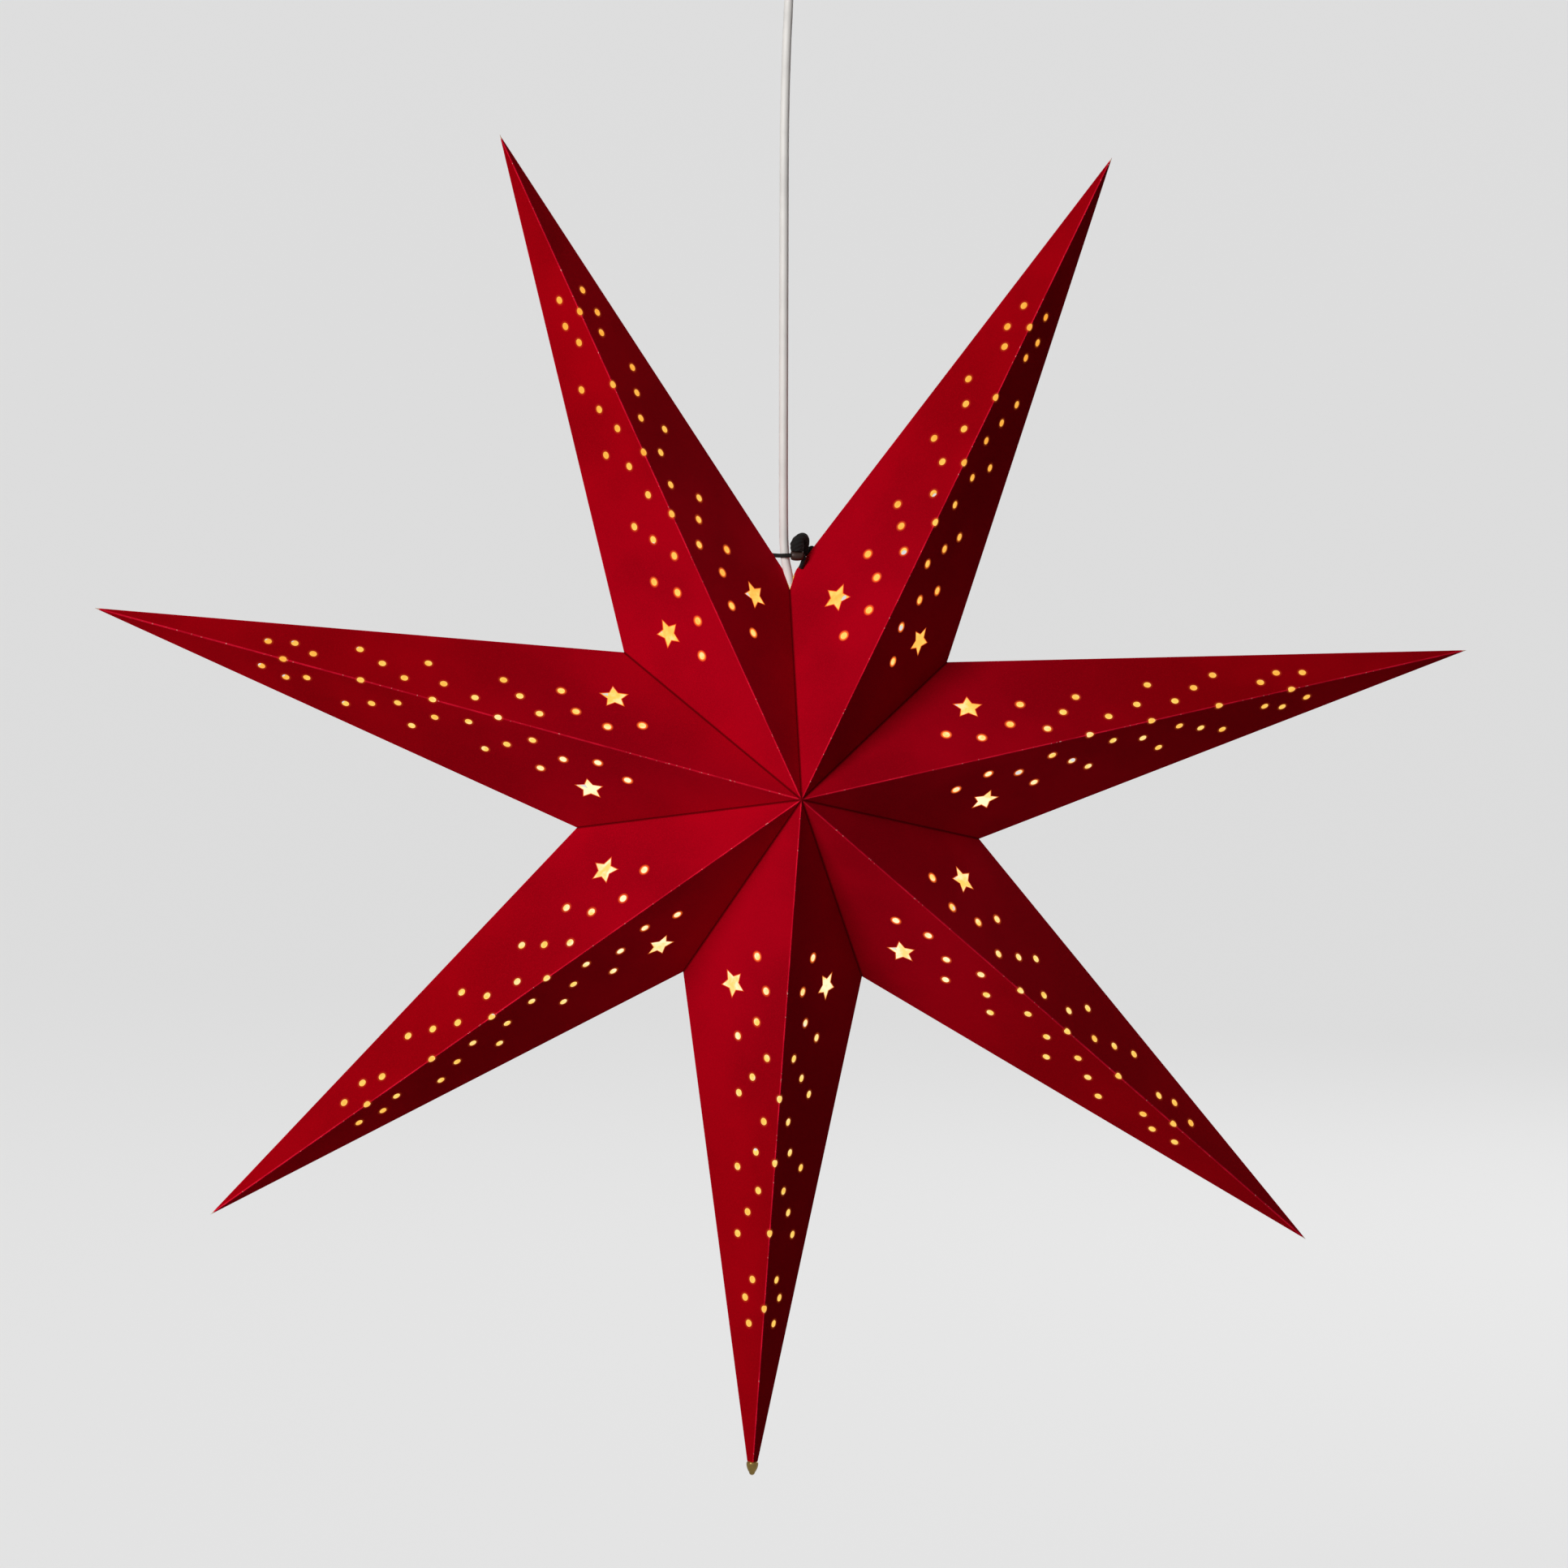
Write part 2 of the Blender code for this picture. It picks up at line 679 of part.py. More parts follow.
def cord_sleeve(parent):
    """The tapered bend relief, with a few turned grooves."""
    top = -NECK_DROP - TOUCH_GAP
    bore = CORD / 2 + CORD_CLEARANCE
    count = SLEEVE_GROOVES * 4 + 2
    profile = [(bore, top)]
    for k in range(count + 1):
        share = k / count
        radius = SLEEVE_TOP / 2 + (SLEEVE_END - SLEEVE_TOP) / 2 * share
        if 1 < k < count and k % 4 in (2, 3):
            radius -= SLEEVE_GROOVE_DEPTH
        profile.append((radius, top - SLEEVE_LENGTH * share))
    profile.append((bore, top - SLEEVE_LENGTH))
    return turned("cord_sleeve", profile, "white_plastic", Matrix.Translation(PIVOT), parent, 12)


# The lamp


def lampholder():
    """The holder hangs on the cord inside the star, its socket open downwards."""
    at = Matrix.Translation(HOLDER_FOOT)
    outside, inside = HOLDER_DIAMETER / 2, HOLDER_DIAMETER / 2 - HOLDER_WALL
    socket = BASE_DIAMETER / 2 + SOCKET_CLEARANCE
    rivet = CONTACT_RIVET / 2 + TOUCH_GAP
    floor = HOLDER_FLOOR_HEIGHT
    profile = [
        (socket, 0),
        (outside, 0),
        (outside, HOLDER_LENGTH),
        (inside, HOLDER_LENGTH),
        (inside, floor + HOLDER_FLOOR),
        (rivet, floor + HOLDER_FLOOR),
        (rivet, floor),
        (socket, floor),
    ]
    body = turned("lampholder_body", profile, "white_plastic", at)
    foot, top = HOLDER_LENGTH + TOUCH_GAP, HOLDER_LENGTH + TOUCH_GAP + HOLDER_CAP_HEIGHT
    bore = CORD / 2 + CORD_CLEARANCE
    shoulder = top - HOLDER_CAP_HEIGHT * 0.45
    cap = [
        (inside, foot),
        (outside, foot),
        (outside, shoulder - HOLDER_WALL),
        (outside - HOLDER_WALL, shoulder + HOLDER_WALL),
        (HOLDER_CAP_TOP / 2, top - HOLDER_WALL),
        (HOLDER_CAP_TOP / 2 - HOLDER_WALL / 2, top),
        (bore, top),
        (bore, top - HOLDER_WALL),
        (inside - HOLDER_WALL, shoulder),
        (inside, shoulder - HOLDER_WALL * 2),
    ]
    turned("lampholder_cap", cap, "white_plastic", at, body)
    ring = [
        (outside + TOUCH_GAP, RING_RISE),
        (RING_DIAMETER / 2, RING_RISE),
        (RING_DIAMETER / 2, RING_RISE + RING_HEIGHT / 2),
        (outside + HOLDER_WALL, RING_RISE + RING_HEIGHT),
        (outside + TOUCH_GAP, RING_RISE + RING_HEIGHT),
    ]
    turned("lampholder_ring", ring, "white_plastic", at, body)
    under = floor - TOUCH_GAP
    contact = [
        (0, under - CONTACT_HEIGHT),
        (CONTACT / 2, under - CONTACT_HEIGHT),
        (CONTACT / 2, under),
        (CONTACT_RIVET / 2, under),
        (CONTACT_RIVET / 2, floor + HOLDER_FLOOR + TOUCH_GAP),
        (0, floor + HOLDER_FLOOR + TOUCH_GAP),
    ]
    turned("lampholder_contact", contact, "brass", at, body, 12)
    return body


def bulb(holder):
    """A screw base, its tip, the glass and the stem inside it, all turned about the holder's axis."""
    at = Matrix.Translation(HOLDER_FOOT)
    radius = BASE_DIAMETER / 2
    top = HOLDER_FLOOR_HEIGHT - CONTACT_HEIGHT - TOUCH_GAP * 3
    foot = top - BASE_LENGTH
    turns = int(BASE_THREAD_LENGTH / BASE_PITCH)
    thread = []
    for k in range(turns * 4 + 1):
        wave = (1 - math.cos(k * math.pi / 2)) / 2
        thread.append((radius - BASE_THREAD_DEPTH * (1 - wave), foot + k * BASE_PITCH / 4))
    shell = foot + BASE_THREAD_LENGTH
    inner = radius - BASE_THREAD_DEPTH - BASE_WALL
    profile = [
        (inner, foot),
        *thread,
        (BASE_END / 2, top - TOUCH_GAP),
        (BASE_END_HOLE / 2, top - TOUCH_GAP),
        (BASE_END_HOLE / 2, top - TOUCH_GAP - BASE_WALL),
        (BASE_END / 2 - BASE_WALL, top - TOUCH_GAP - BASE_WALL),
        (inner, shell - BASE_WALL),
    ]
    base = turned("bulb_base", profile, "brass", at, holder, 16)
    tip = [(0, top), (CONTACT_RIVET / 2, top), (CONTACT_RIVET / 2, top + TOUCH_GAP * 2), (0, top + TOUCH_GAP * 2)]
    turned("bulb_tip_contact", tip, "steel", at, base, 12)
    ball, hollow = GLASS_DIAMETER / 2, GLASS_DIAMETER / 2 - GLASS_WALL
    middle = foot + TOUCH_GAP - GLASS_DROP
    collar, neck = GLASS_COLLAR / 2, min(GLASS_NECK / 2, inner - TOUCH_GAP)
    rise = foot + GLASS_NECK_RISE
    shoulder = math.radians(140)
    outside = arc(ball, shoulder, 0, 8, middle)
    inside = arc(hollow, 0, shoulder, 8, middle)
    glass = [
        (neck - GLASS_WALL, rise),
        (neck, rise),
        (neck, foot - TOUCH_GAP),
        (collar, foot - TOUCH_GAP),
        (collar, foot - GLASS_NECK_RISE / 2),
        *outside,
        *inside,
        (collar - GLASS_WALL, foot - GLASS_NECK_RISE / 2),
        (neck - GLASS_WALL, foot - TOUCH_GAP - GLASS_WALL),
    ]
    turned("bulb_glass", glass, "glass", at, base, 20)
    flare = neck - GLASS_WALL - TOUCH_GAP
    stem = [
        (0, rise),
        (flare, rise),
        (flare, rise - GLASS_WALL),
        (STEM / 2, rise - STEM),
        (STEM / 2, rise - STEM_LENGTH),
        (STEM / 4, rise - STEM_LENGTH - STEM / 4),
        (0, rise - STEM_LENGTH - STEM / 3),
    ]
    turned("bulb_stem", stem, "white_plastic", at, base, 12)
    return base


# The tip cap and the tie


def tip_cap(holder):
    """A small turned cap on the lowest arm's cut tip."""
    corners = facet_corners(LOWEST_ARM, True, True)
    inward = (STAR_MIDDLE - tip_of(LOWEST_ARM)).normalized()
    cut = cut_length(corners[1], corners, CAPPED_TIP_CUT)
    mouth = tip_of(LOWEST_ARM) + inward * (cut - TOUCH_GAP)
    turn = (-inward).to_track_quat("Z", "Y").to_matrix().to_4x4()
    radius, end = TIP_CAP_DIAMETER / 2, TIP_CAP_END / 2
    bend = radius - end
    profile = [
        (0, 0),
        (radius * 0.9, 0),
        (radius, TIP_CAP_LENGTH * 0.12),
        (radius, TIP_CAP_LENGTH * 0.45),
        (end + bend * 0.7, TIP_CAP_LENGTH * 0.72),
        (end, TIP_CAP_LENGTH * 0.92),
        (end * 0.6, TIP_CAP_LENGTH),
        (0, TIP_CAP_LENGTH),
    ]
    return turned("tip_cap", profile, "brass", Matrix.Translation(mouth) @ turn, holder, 16)


def tie(facets):
    """The elastic string from the left arm's hole past the cord, its bead, and the right arm's knotted loop."""
    left, right = facets[1, True], facets[2, False]
    left_corners, right_corners = facet_corners(1, False, True), facet_corners(2, False, False)
    left_hole, right_hole = tie_hole(left_corners), tie_hole(right_corners)
    out_left = facet_frame(left_corners, "edge").to_3x3() @ Vector((0, 0, 1))
    out_right = facet_frame(right_corners, "edge").to_3x3() @ Vector((0, 0, 1))
    radius = BEAD_DIAMETER / 2
    front = -(CORD / 2 + TOUCH_GAP + radius)
    bead_at = Vector((BEAD_OFFSET, front, left_hole.z - BEAD_DROP))
    run_start = bead_at - Vector((BEAD_LENGTH / 2 + BEAD_TRAVEL + STRING / 2, 0, 0))
    run_end = bead_at + Vector((BEAD_LENGTH / 2 + STRING / 2, 0, 0))
    hub, tip, notch = left_corners
    along = (tip - notch).normalized()
    over_edge = notch + along * STRING_ALONG_EDGE - along.cross(Vector((0, 1, 0))) * STRING_OFF_EDGE
    string = [
        left_hole - out_left * STRING / 2,
        left_hole + out_left * STRING * 0.7,
        over_edge,
        run_start,
    ]
    tail = [
        run_end,
        run_end + Vector((0.15, 0.25, -0.7)) * STRING,
        run_end + Vector((-0.25, 0.7, -1.7)) * STRING,
        run_end + Vector((-0.8, 1.2, -2.9)) * STRING,
    ]
    route = eased(string, STRING_STEPS) + straight(run_start, run_end, STRING * 4)[1:-1]
    tube("tie_string", route + eased(tail, STRING_STEPS // 2), STRING, "black_elastic", left)
    bore = STRING / 2 + BEAD_BORE_CLEARANCE
    half = BEAD_LENGTH / 2
    slices = [2 * k / BEAD_SLICES - 1 for k in range(1, BEAD_SLICES)]
    crown = math.sqrt(1 - (BEAD_END / BEAD_DIAMETER) ** 2)
    bead = [(bore, -half), (BEAD_END / 2, -half)]
    bead += [(radius * math.sqrt(1 - (crown * share) ** 2), half * share) for share in slices]
    bead += [(BEAD_END / 2, half), (bore, half)]
    at = Matrix.Translation(bead_at) @ Matrix.Rotation(math.pi / 2, 4, "Y")
    turned("tie_bead", bead, "brown_bead", at, left, 16)
    above = bead_at + Vector((0, 0, radius + TOUCH_GAP))
    loop = [
        right_hole - out_right * LOOP_STRAND / 4,
        right_hole + out_right * LOOP_STRAND * 0.75,
        above + Vector((LOOP_WIDTH * 1.18, LOOP_WIDTH * 1.55, LOOP_RISE * -0.29)),
        above + Vector((LOOP_WIDTH * 1.1, LOOP_WIDTH * 1.11, LOOP_RISE * 0.17)),
        above + Vector((LOOP_WIDTH * 1.06, LOOP_WIDTH * 0.61, LOOP_RISE * 0.55)),
        above + Vector((LOOP_WIDTH * 0.81, LOOP_WIDTH * 0.21, LOOP_RISE * 0.82)),
        above + Vector((LOOP_WIDTH * 0.44, LOOP_WIDTH * 0.03, LOOP_RISE * 0.82)),
        above + Vector((LOOP_WIDTH * 0.16, 0, LOOP_RISE * 0.59)),
        above + Vector((LOOP_WIDTH * 0.05, 0, LOOP_RISE * 0.31)),
        above + Vector((0, 0, LOOP_RISE * 0.01)),
    ]
    knot = LOOP_KNOT / LOOP_STRAND
    widths = [1, 1, 1.05, 1.08, 1.1, 1.1, 1.25, 1.7, knot, knot * 0.7]
    widths = [a + (b - a) * k / STRING_STEPS for a, b in zip(widths, widths[1:]) for k in range(STRING_STEPS)]
    tube("tie_loop", eased(loop, STRING_STEPS), LOOP_STRAND, "black_elastic", right, [*widths, knot * 0.7])


def main():
    clear_scene()
    cup = ceiling_cup()
    bracket(cup)
    screws(cup)
    terminal_block(cup)
    swivel_housing(cup)
    seat = swivel_seat(cup)
    ball = swivel_ball(seat)
    cord_sleeve(ball)
    cord = tube("lamp_cord", straight(CORD_TOP, CORD_END, CORD_STEP), CORD, "white_cord", ball)
    holder = hang_on(lampholder(), cord)
    bulb(holder)
    tip_cap(holder)
    tie(paper_star(holder))


main()
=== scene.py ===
"""Dresses a folding seven-armed paper advent star, lit from inside, with its cord and ceiling cup.

Metres, +Z up. The origin is on the ceiling above the cup, and -Y is the front. Arms are numbered
clockwise seen from the front, from the one left of the top seam.
"""

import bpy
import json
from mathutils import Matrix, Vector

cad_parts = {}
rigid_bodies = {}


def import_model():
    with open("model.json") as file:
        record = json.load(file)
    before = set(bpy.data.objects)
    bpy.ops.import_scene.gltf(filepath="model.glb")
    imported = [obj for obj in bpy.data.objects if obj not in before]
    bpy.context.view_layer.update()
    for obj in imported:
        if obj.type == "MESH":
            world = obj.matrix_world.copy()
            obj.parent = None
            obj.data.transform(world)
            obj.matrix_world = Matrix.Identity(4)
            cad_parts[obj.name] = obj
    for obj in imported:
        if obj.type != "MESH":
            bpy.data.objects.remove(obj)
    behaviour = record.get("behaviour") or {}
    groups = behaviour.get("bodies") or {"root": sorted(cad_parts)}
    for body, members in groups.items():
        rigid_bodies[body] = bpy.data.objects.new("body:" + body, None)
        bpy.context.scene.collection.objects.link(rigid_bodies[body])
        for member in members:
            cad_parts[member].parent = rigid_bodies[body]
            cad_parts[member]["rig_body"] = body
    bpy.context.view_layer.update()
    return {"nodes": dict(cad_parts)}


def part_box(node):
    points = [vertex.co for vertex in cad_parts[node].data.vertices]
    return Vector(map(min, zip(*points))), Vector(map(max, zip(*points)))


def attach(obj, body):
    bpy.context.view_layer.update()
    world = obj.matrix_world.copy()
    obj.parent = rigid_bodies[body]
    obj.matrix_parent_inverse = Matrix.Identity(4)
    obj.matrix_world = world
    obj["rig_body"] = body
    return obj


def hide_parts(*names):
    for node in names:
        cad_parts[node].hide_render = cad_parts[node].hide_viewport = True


bl_info = {
    "name": "Paper Advent Star",
    "version": (1, 0, 0),
    "blender": (4, 5, 0),
    "location": "3D View > Sidebar > Advent Star",
    "description": "Makes a perforated paper star with its lamp, cord, tie and ceiling cup",
    "category": "Add Mesh",
}

import json
import math
from functools import cached_property

import bmesh
import bpy
from bpy.props import FloatProperty, FloatVectorProperty, IntProperty, PointerProperty
from mathutils import Matrix, Vector

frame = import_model()

# The star's layout, as its solids have it
ARM_COUNT = 7
LOWEST_ARM = 5
ARM_STEP = math.tau / ARM_COUNT
TIE_HOLE_ALONG = 0.0217
TIE_HOLE_INSET = 0.0034
CORD_BORE = 0.0029
TOUCH_GAP = 0.0003

# The perforations, as shares of the way from the hub to the tip and from the hub to the notch
STAR_CUT_SHARES = (0.135, 0.520)
DOT_SHARES = (
    (0.148, 0.309), (0.224, 0.203), (0.252, 0.270), (0.231, 0.438), (0.334, 0.149), (0.331, 0.273),
    (0.325, 0.390), (0.429, 0.135), (0.460, 0.189), (0.441, 0.353), (0.528, 0.140), (0.538, 0.226),
    (0.550, 0.306), (0.659, 0.134), (0.671, 0.191), (0.722, 0.138),
)
RIDGE_DOT_SHARES = (0.430, 0.523, 0.625, 0.735)

# A sheet's kinds of points and faces, a tie hole's rim as a share of the others', and its inputs
OUTLINE, DOT, STAR_CUT, TIE_HOLE, RIDGE_DOT = range(5)
OUTER_FACE, INNER_FACE, CUT_FACE = range(3)
TIE_RIM_SHARE = 0.4
SHEET_SIZES = ("Thickness", "Dot", "Star Cut", "Star Waist", "Tie Hole", "Glow Width")
SHEET_LOOKS = ("Outer", "Inner", "Core")

# How near two points are one, and the sides of a round piece
WELD = 0.00001
ROUND_SIDES = 64

# The hanging cord's slight bend, as steps aside and drops from the ceiling
CORD_LAY = (
    (0.0, 0.050), (0.0, 0.070), (-0.0002, 0.086), (-0.0015, 0.115), (-0.0026, 0.160),
    (-0.0029, 0.230), (-0.0031, 0.300), (-0.0032, 0.350), (-0.0031, 0.380), (-0.0028, 0.393),
    (-0.0020, 0.402), (-0.0008, 0.4075), (0.0, 0.4135), (0.0, 0.425),
)

# The braided loop's lay above the bead, as shares of its width, width and rise
LOOP_SHARES = (
    (1.05, 1.45, -0.35), (0.92, 1.00, 0.10), (0.90, 0.55, 0.50), (0.74, 0.21, 0.80),
    (0.42, -0.03, 0.84), (0.12, -0.12, 0.60), (0.00, -0.14, 0.31), (-0.02, -0.14, -0.10),
)

# The camera, from the star's middle
CAMERA_TURN = math.radians(8.56)
CAMERA_LIFT = math.radians(5.18)
CAMERA_PLACE = Vector((-0.0020, 6.302, -0.0017))
CAMERA_LENS = 255.4

# The lamps' names, sizes and places from the star's middle, and the ground's reach and paleness
LAMPS = (
    ("key", 1.3, Vector((-0.604, -0.720, 0.342)) * 3.4),
    ("fill", 2.2, Vector((0.75, -0.60, 0.25)) * 3.6),
    ("back", 1.8, Vector((0.50, 0.80, 0.34)) * 3.4),
)
FLOOR_REACH = 90
PALE_FLOOR = 0.69
PALE_SKY = 0.733


def amount(name, text, default, unit="NONE"):
    return FloatProperty(name=name, description=text, default=default, min=0, unit=unit)


def length(name, text, default):
    return amount(name, text, default, "LENGTH")


def colour(name, text, default):
    return FloatVectorProperty(
        name=name, description=text, default=default, size=3, min=0, max=1, subtype="COLOR"
    )


class StarPaperSettings(bpy.types.PropertyGroup):
    arm_reach: length("Arm Reach", "From the star's middle to an arm's tip", 0.402)
    notch_reach: length("Notch Reach", "From the star's middle to the notch between arms", 0.118)
    half_depth: length("Half Depth", "From the star's middle to a hub", 0.080)
    star_drop: length("Drop", "From the ceiling to the star's middle", 0.530)
    hang_tilt: FloatProperty(
        name="Tilt", description="How far the star hangs turned in its own plane",
        default=math.radians(2.4), subtype="ANGLE",
    )
    thickness: length("Thickness", "Thickness of the paper", 0.00025)
    dot: length("Dot", "Diameter of the round holes", 0.0042)
    dot_sides: IntProperty(name="Dot Sides", description="Sides of a round hole", default=16, min=6)
    star_cut: length("Star Cut", "Diameter of the five-pointed holes", 0.0158)
    star_waist: amount("Star Waist", "Inner over outer diameter of a five-pointed hole", 0.50)
    tie_hole: length("Tie Hole", "Diameter of the holes for the tie", 0.0042)
    glow_width: length("Glow Width", "How far the light creeps into the paper round a hole", 0.0015)
    tip_cut: length("Tip Cut", "Width of the lowest arm's cut tip", 0.0043)
    cord_notch: length("Cord Notch", "How far the seam's corners are cut back for the cord", 0.0028)
    flock: colour("Flock", "Colour of the flocked paper", (0.385, 0.0, 0.0046))
    worn: colour("Worn", "Colour of the worn ridges", (0.95, 0.010, 0.040))
    speck: colour("Speck", "Colour of the bare specks on the ridges", (0.92, 0.40, 0.37))
    core: colour("Core", "Colour of the paper's cut edges", (0.90, 0.72, 0.55))
    # Painted shade: the cap's brass is darkened to stand for dark surroundings reflected in it
    cap: colour("Cap", "Colour of the brass cap on the lowest tip", (0.24, 0.16, 0.05))
    # Painted light: the colours of the inside's glow, from beside the bulb to near the tips
    lit_near: colour("Lit Near", "Colour of the inside beside the bulb", (1.0, 0.96, 0.60))
    lit_middle: colour("Lit Middle", "Colour of the inside halfway", (1.0, 0.68, 0.15))
    lit_far: colour("Lit Far", "Colour of the inside near the tips", (0.88, 0.34, 0.026))


class StarLampSettings(bpy.types.PropertyGroup):
    cord: length("Cord", "Diameter of the cord", 0.0052)
    cord_top: length("Cord Top", "From the ceiling to the cord's upper end", 0.0295)
    cord_end: length("Cord End", "From the ceiling to the cord's lower end", 0.443)
    sheath: colour("Sheath", "Colour of the cord's sheath", (0.94, 0.91, 0.87))
    plastic: colour("Plastic", "Colour of the moulded parts", (0.80, 0.80, 0.78))
    glass: colour("Glass", "Colour of the lit glass", (1.0, 0.80, 0.52))
    brass: colour("Brass", "Colour of the brass", (0.60, 0.38, 0.13))
    glow: amount("Glow", "Brightness of the lit glass", 2.5)


class StarFittingSettings(bpy.types.PropertyGroup):
    enamel: colour("Enamel", "Colour of the ceiling cup", (0.82, 0.82, 0.80))
    steel: colour("Steel", "Colour of the bracket and screws", (0.60, 0.60, 0.60))
    wall: length("Wall", "Thickness of the cup's wall", 0.0015)
    edge: length("Edge", "Radius of the cup's lower edge", 0.008)


class StarTieSettings(bpy.types.PropertyGroup):
    string: length("String", "Diameter of the elastic string", 0.0024)
    strand: length("Strand", "Diameter of the braided loop", 0.0034)
    knot: length("Knot", "Diameter of the loop's knot", 0.0082)
    elastic: colour("Elastic", "Colour of the elastic", (0.007, 0.0065, 0.006))
    bead: colour("Bead", "Colour of the bead", (0.030, 0.014, 0.010))


class StarStageSettings(bpy.types.PropertyGroup):
    floor_drop: length("Floor Drop", "From the ceiling to the floor", 1.12)
    floor: colour("Floor", "Colour of the floor", (0.34, 0.34, 0.34))
    key: amount("Key", "Power of the main lamp", 85.0, "POWER")
    fill: amount("Fill", "Power of the weak lamp", 0.6, "POWER")
    back: amount("Back", "Power of the lamp behind", 42.0, "POWER")
    sky: amount("Sky", "Strength of the light from all round", 0.02)


class StarSettings(bpy.types.PropertyGroup):
    paper: PointerProperty(type=StarPaperSettings)
    lamp: PointerProperty(type=StarLampSettings)
    fitting: PointerProperty(type=StarFittingSettings)
    tie: PointerProperty(type=StarTieSettings)
    stage: PointerProperty(type=StarStageSettings)


def settings():
    return bpy.context.scene.advent_star


# Places that the pieces share


def star_middle():
    """The middle of the star, which hangs by its top seam under the cord."""
    paper = settings().paper
    sine, cosine = math.sin(paper.hang_tilt), math.cos(paper.hang_tilt)
    seam = Vector((0, 0, paper.notch_reach * cosine - paper.star_drop))
    return seam - paper.notch_reach * Vector((sine, 0, cosine))


def around(reach, steps):
    """A point in the star's middle plane, counted clockwise in arms from the top seam."""
    angle = steps * ARM_STEP + settings().paper.hang_tilt
    return star_middle() + reach * Vector((math.sin(angle), 0, math.cos(angle)))


def sheet_corners(arm, front, right):
    paper = settings().paper
    hub = star_middle() + Vector((0, -paper.half_depth if front else paper.half_depth, 0))
    tip = around(paper.arm_reach, arm - 1.5)
    return hub, tip, around(paper.notch_reach, arm - 1 if right else arm - 2)


def sheet_frame(corners):
    """X runs along the ridge, Y towards the notch and Z out of the star. It may be left-handed."""
    hub, tip, notch = corners
    x = (tip - hub).normalized()
    y = ((notch - hub) - (notch - hub).dot(x) * x).normalized()
    z = x.cross(y)
    if z.dot(hub - star_middle()) < 0:
        z = -z
    return Matrix.Translation(hub) @ Matrix((x, y, z)).transposed().to_4x4()


def sheet_normal(corners):
    """The direction out of the star at a sheet."""
    return sheet_frame(corners).to_3x3().col[2]


def tie_hole_place(corners):
    hub, tip, notch = corners
    along = (tip - notch).normalized()
    inward = (hub - notch) - (hub - notch).dot(along) * along
    return notch + along * TIE_HOLE_ALONG + inward.normalized() * TIE_HOLE_INSET


# Pieces


def piece(name, shape, node):
    """A finished piece that moves with a node of the solids and stands for it."""
    obj = bpy.data.objects.new(name, shape)
    bpy.context.scene.collection.objects.link(obj)
    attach(obj, frame["nodes"][node]["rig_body"])
    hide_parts(node)
    return obj


def closed_mesh(name, shape, look):
    """Ends the making of a shape, as a smooth mesh with outward faces."""
    bmesh.ops.recalc_face_normals(shape, faces=shape.faces)
    mesh = bpy.data.meshes.new(name)
    shape.to_mesh(mesh)
    shape.free()
    mesh.shade_smooth()
    mesh.materials.append(look)
    return mesh


def turned(name, node, look, profile, matrix, sides=ROUND_SIDES, angle=30):
    """A closed piece turned about the matrix's Z from (radius, height) points."""
    shape = bmesh.new()
    verts = [shape.verts.new((radius, 0, height)) for radius, height in profile]
    pairs = list(zip(verts, verts[1:] + verts[:1]))
    edges = [shape.edges.new(pair) for pair in pairs if pair[0].co.x or pair[1].co.x]
    bmesh.ops.spin(
        shape, geom=verts + edges, cent=(0, 0, 0), axis=(0, 0, 1), angle=math.tau,
        steps=sides, use_merge=True,
    )
    bmesh.ops.remove_doubles(shape, verts=shape.verts, dist=WELD / 10)
    mesh = closed_mesh(name, shape, look)
    mesh.transform(matrix)
    mesh.set_sharp_from_angle(angle=math.radians(angle))
    return piece(name, mesh, node)


def round_space(node):
    """The foot, the height and the radius of a round upright solid."""
    low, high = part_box(node)
    return low.z, high.z - low.z, (high.x - low.x) / 2


def raised(height):
    return Matrix.Translation((0, 0, height))


def arc(radius, start, end, steps, height=0):
    """(radius, height) points on an arc about the axis, its angles counted from straight down."""
    angles = [start + (end - start) * step / steps for step in range(steps + 1)]
    return [(radius * math.sin(a), height - radius * math.cos(a)) for a in angles]


def rounded(points, radius, steps=4):
    """A closed profile with its corners rounded, where the sides are long enough."""
    points = [Vector(point) for point in points]
    out = []
    for before, here, after in zip(points[-1:] + points[:-1], points, points[1:] + points[:1]):
        cut = min(radius, (before - here).length * 0.45, (after - here).length * 0.45)
        if here.x == 0 or cut < WELD:
            out.append(here)
            continue
        start = here + (before - here).normalized() * cut
        end = here + (after - here).normalized() * cut
        for k in range(steps + 1):
            t = k / steps
            out.append(start.lerp(here, t).lerp(here.lerp(end, t), t))
    return [tuple(point) for point in out]


def eased(points, steps):
    """Points read from a smooth curve through the given ones."""
    ends = [2 * points[0] - points[1], *points, 2 * points[-1] - points[-2]]
    out = []
    for a, b, c, d in zip(ends, ends[1:], ends[2:], ends[3:]):
        for step in range(steps):
            t = step / steps
            run = 2 * b + (c - a) * t + (2 * a - 5 * b + 4 * c - d) * t**2
            out.append((run + (3 * b - a - 3 * c + d) * t**3) / 2)
    return [*out, points[-1]]


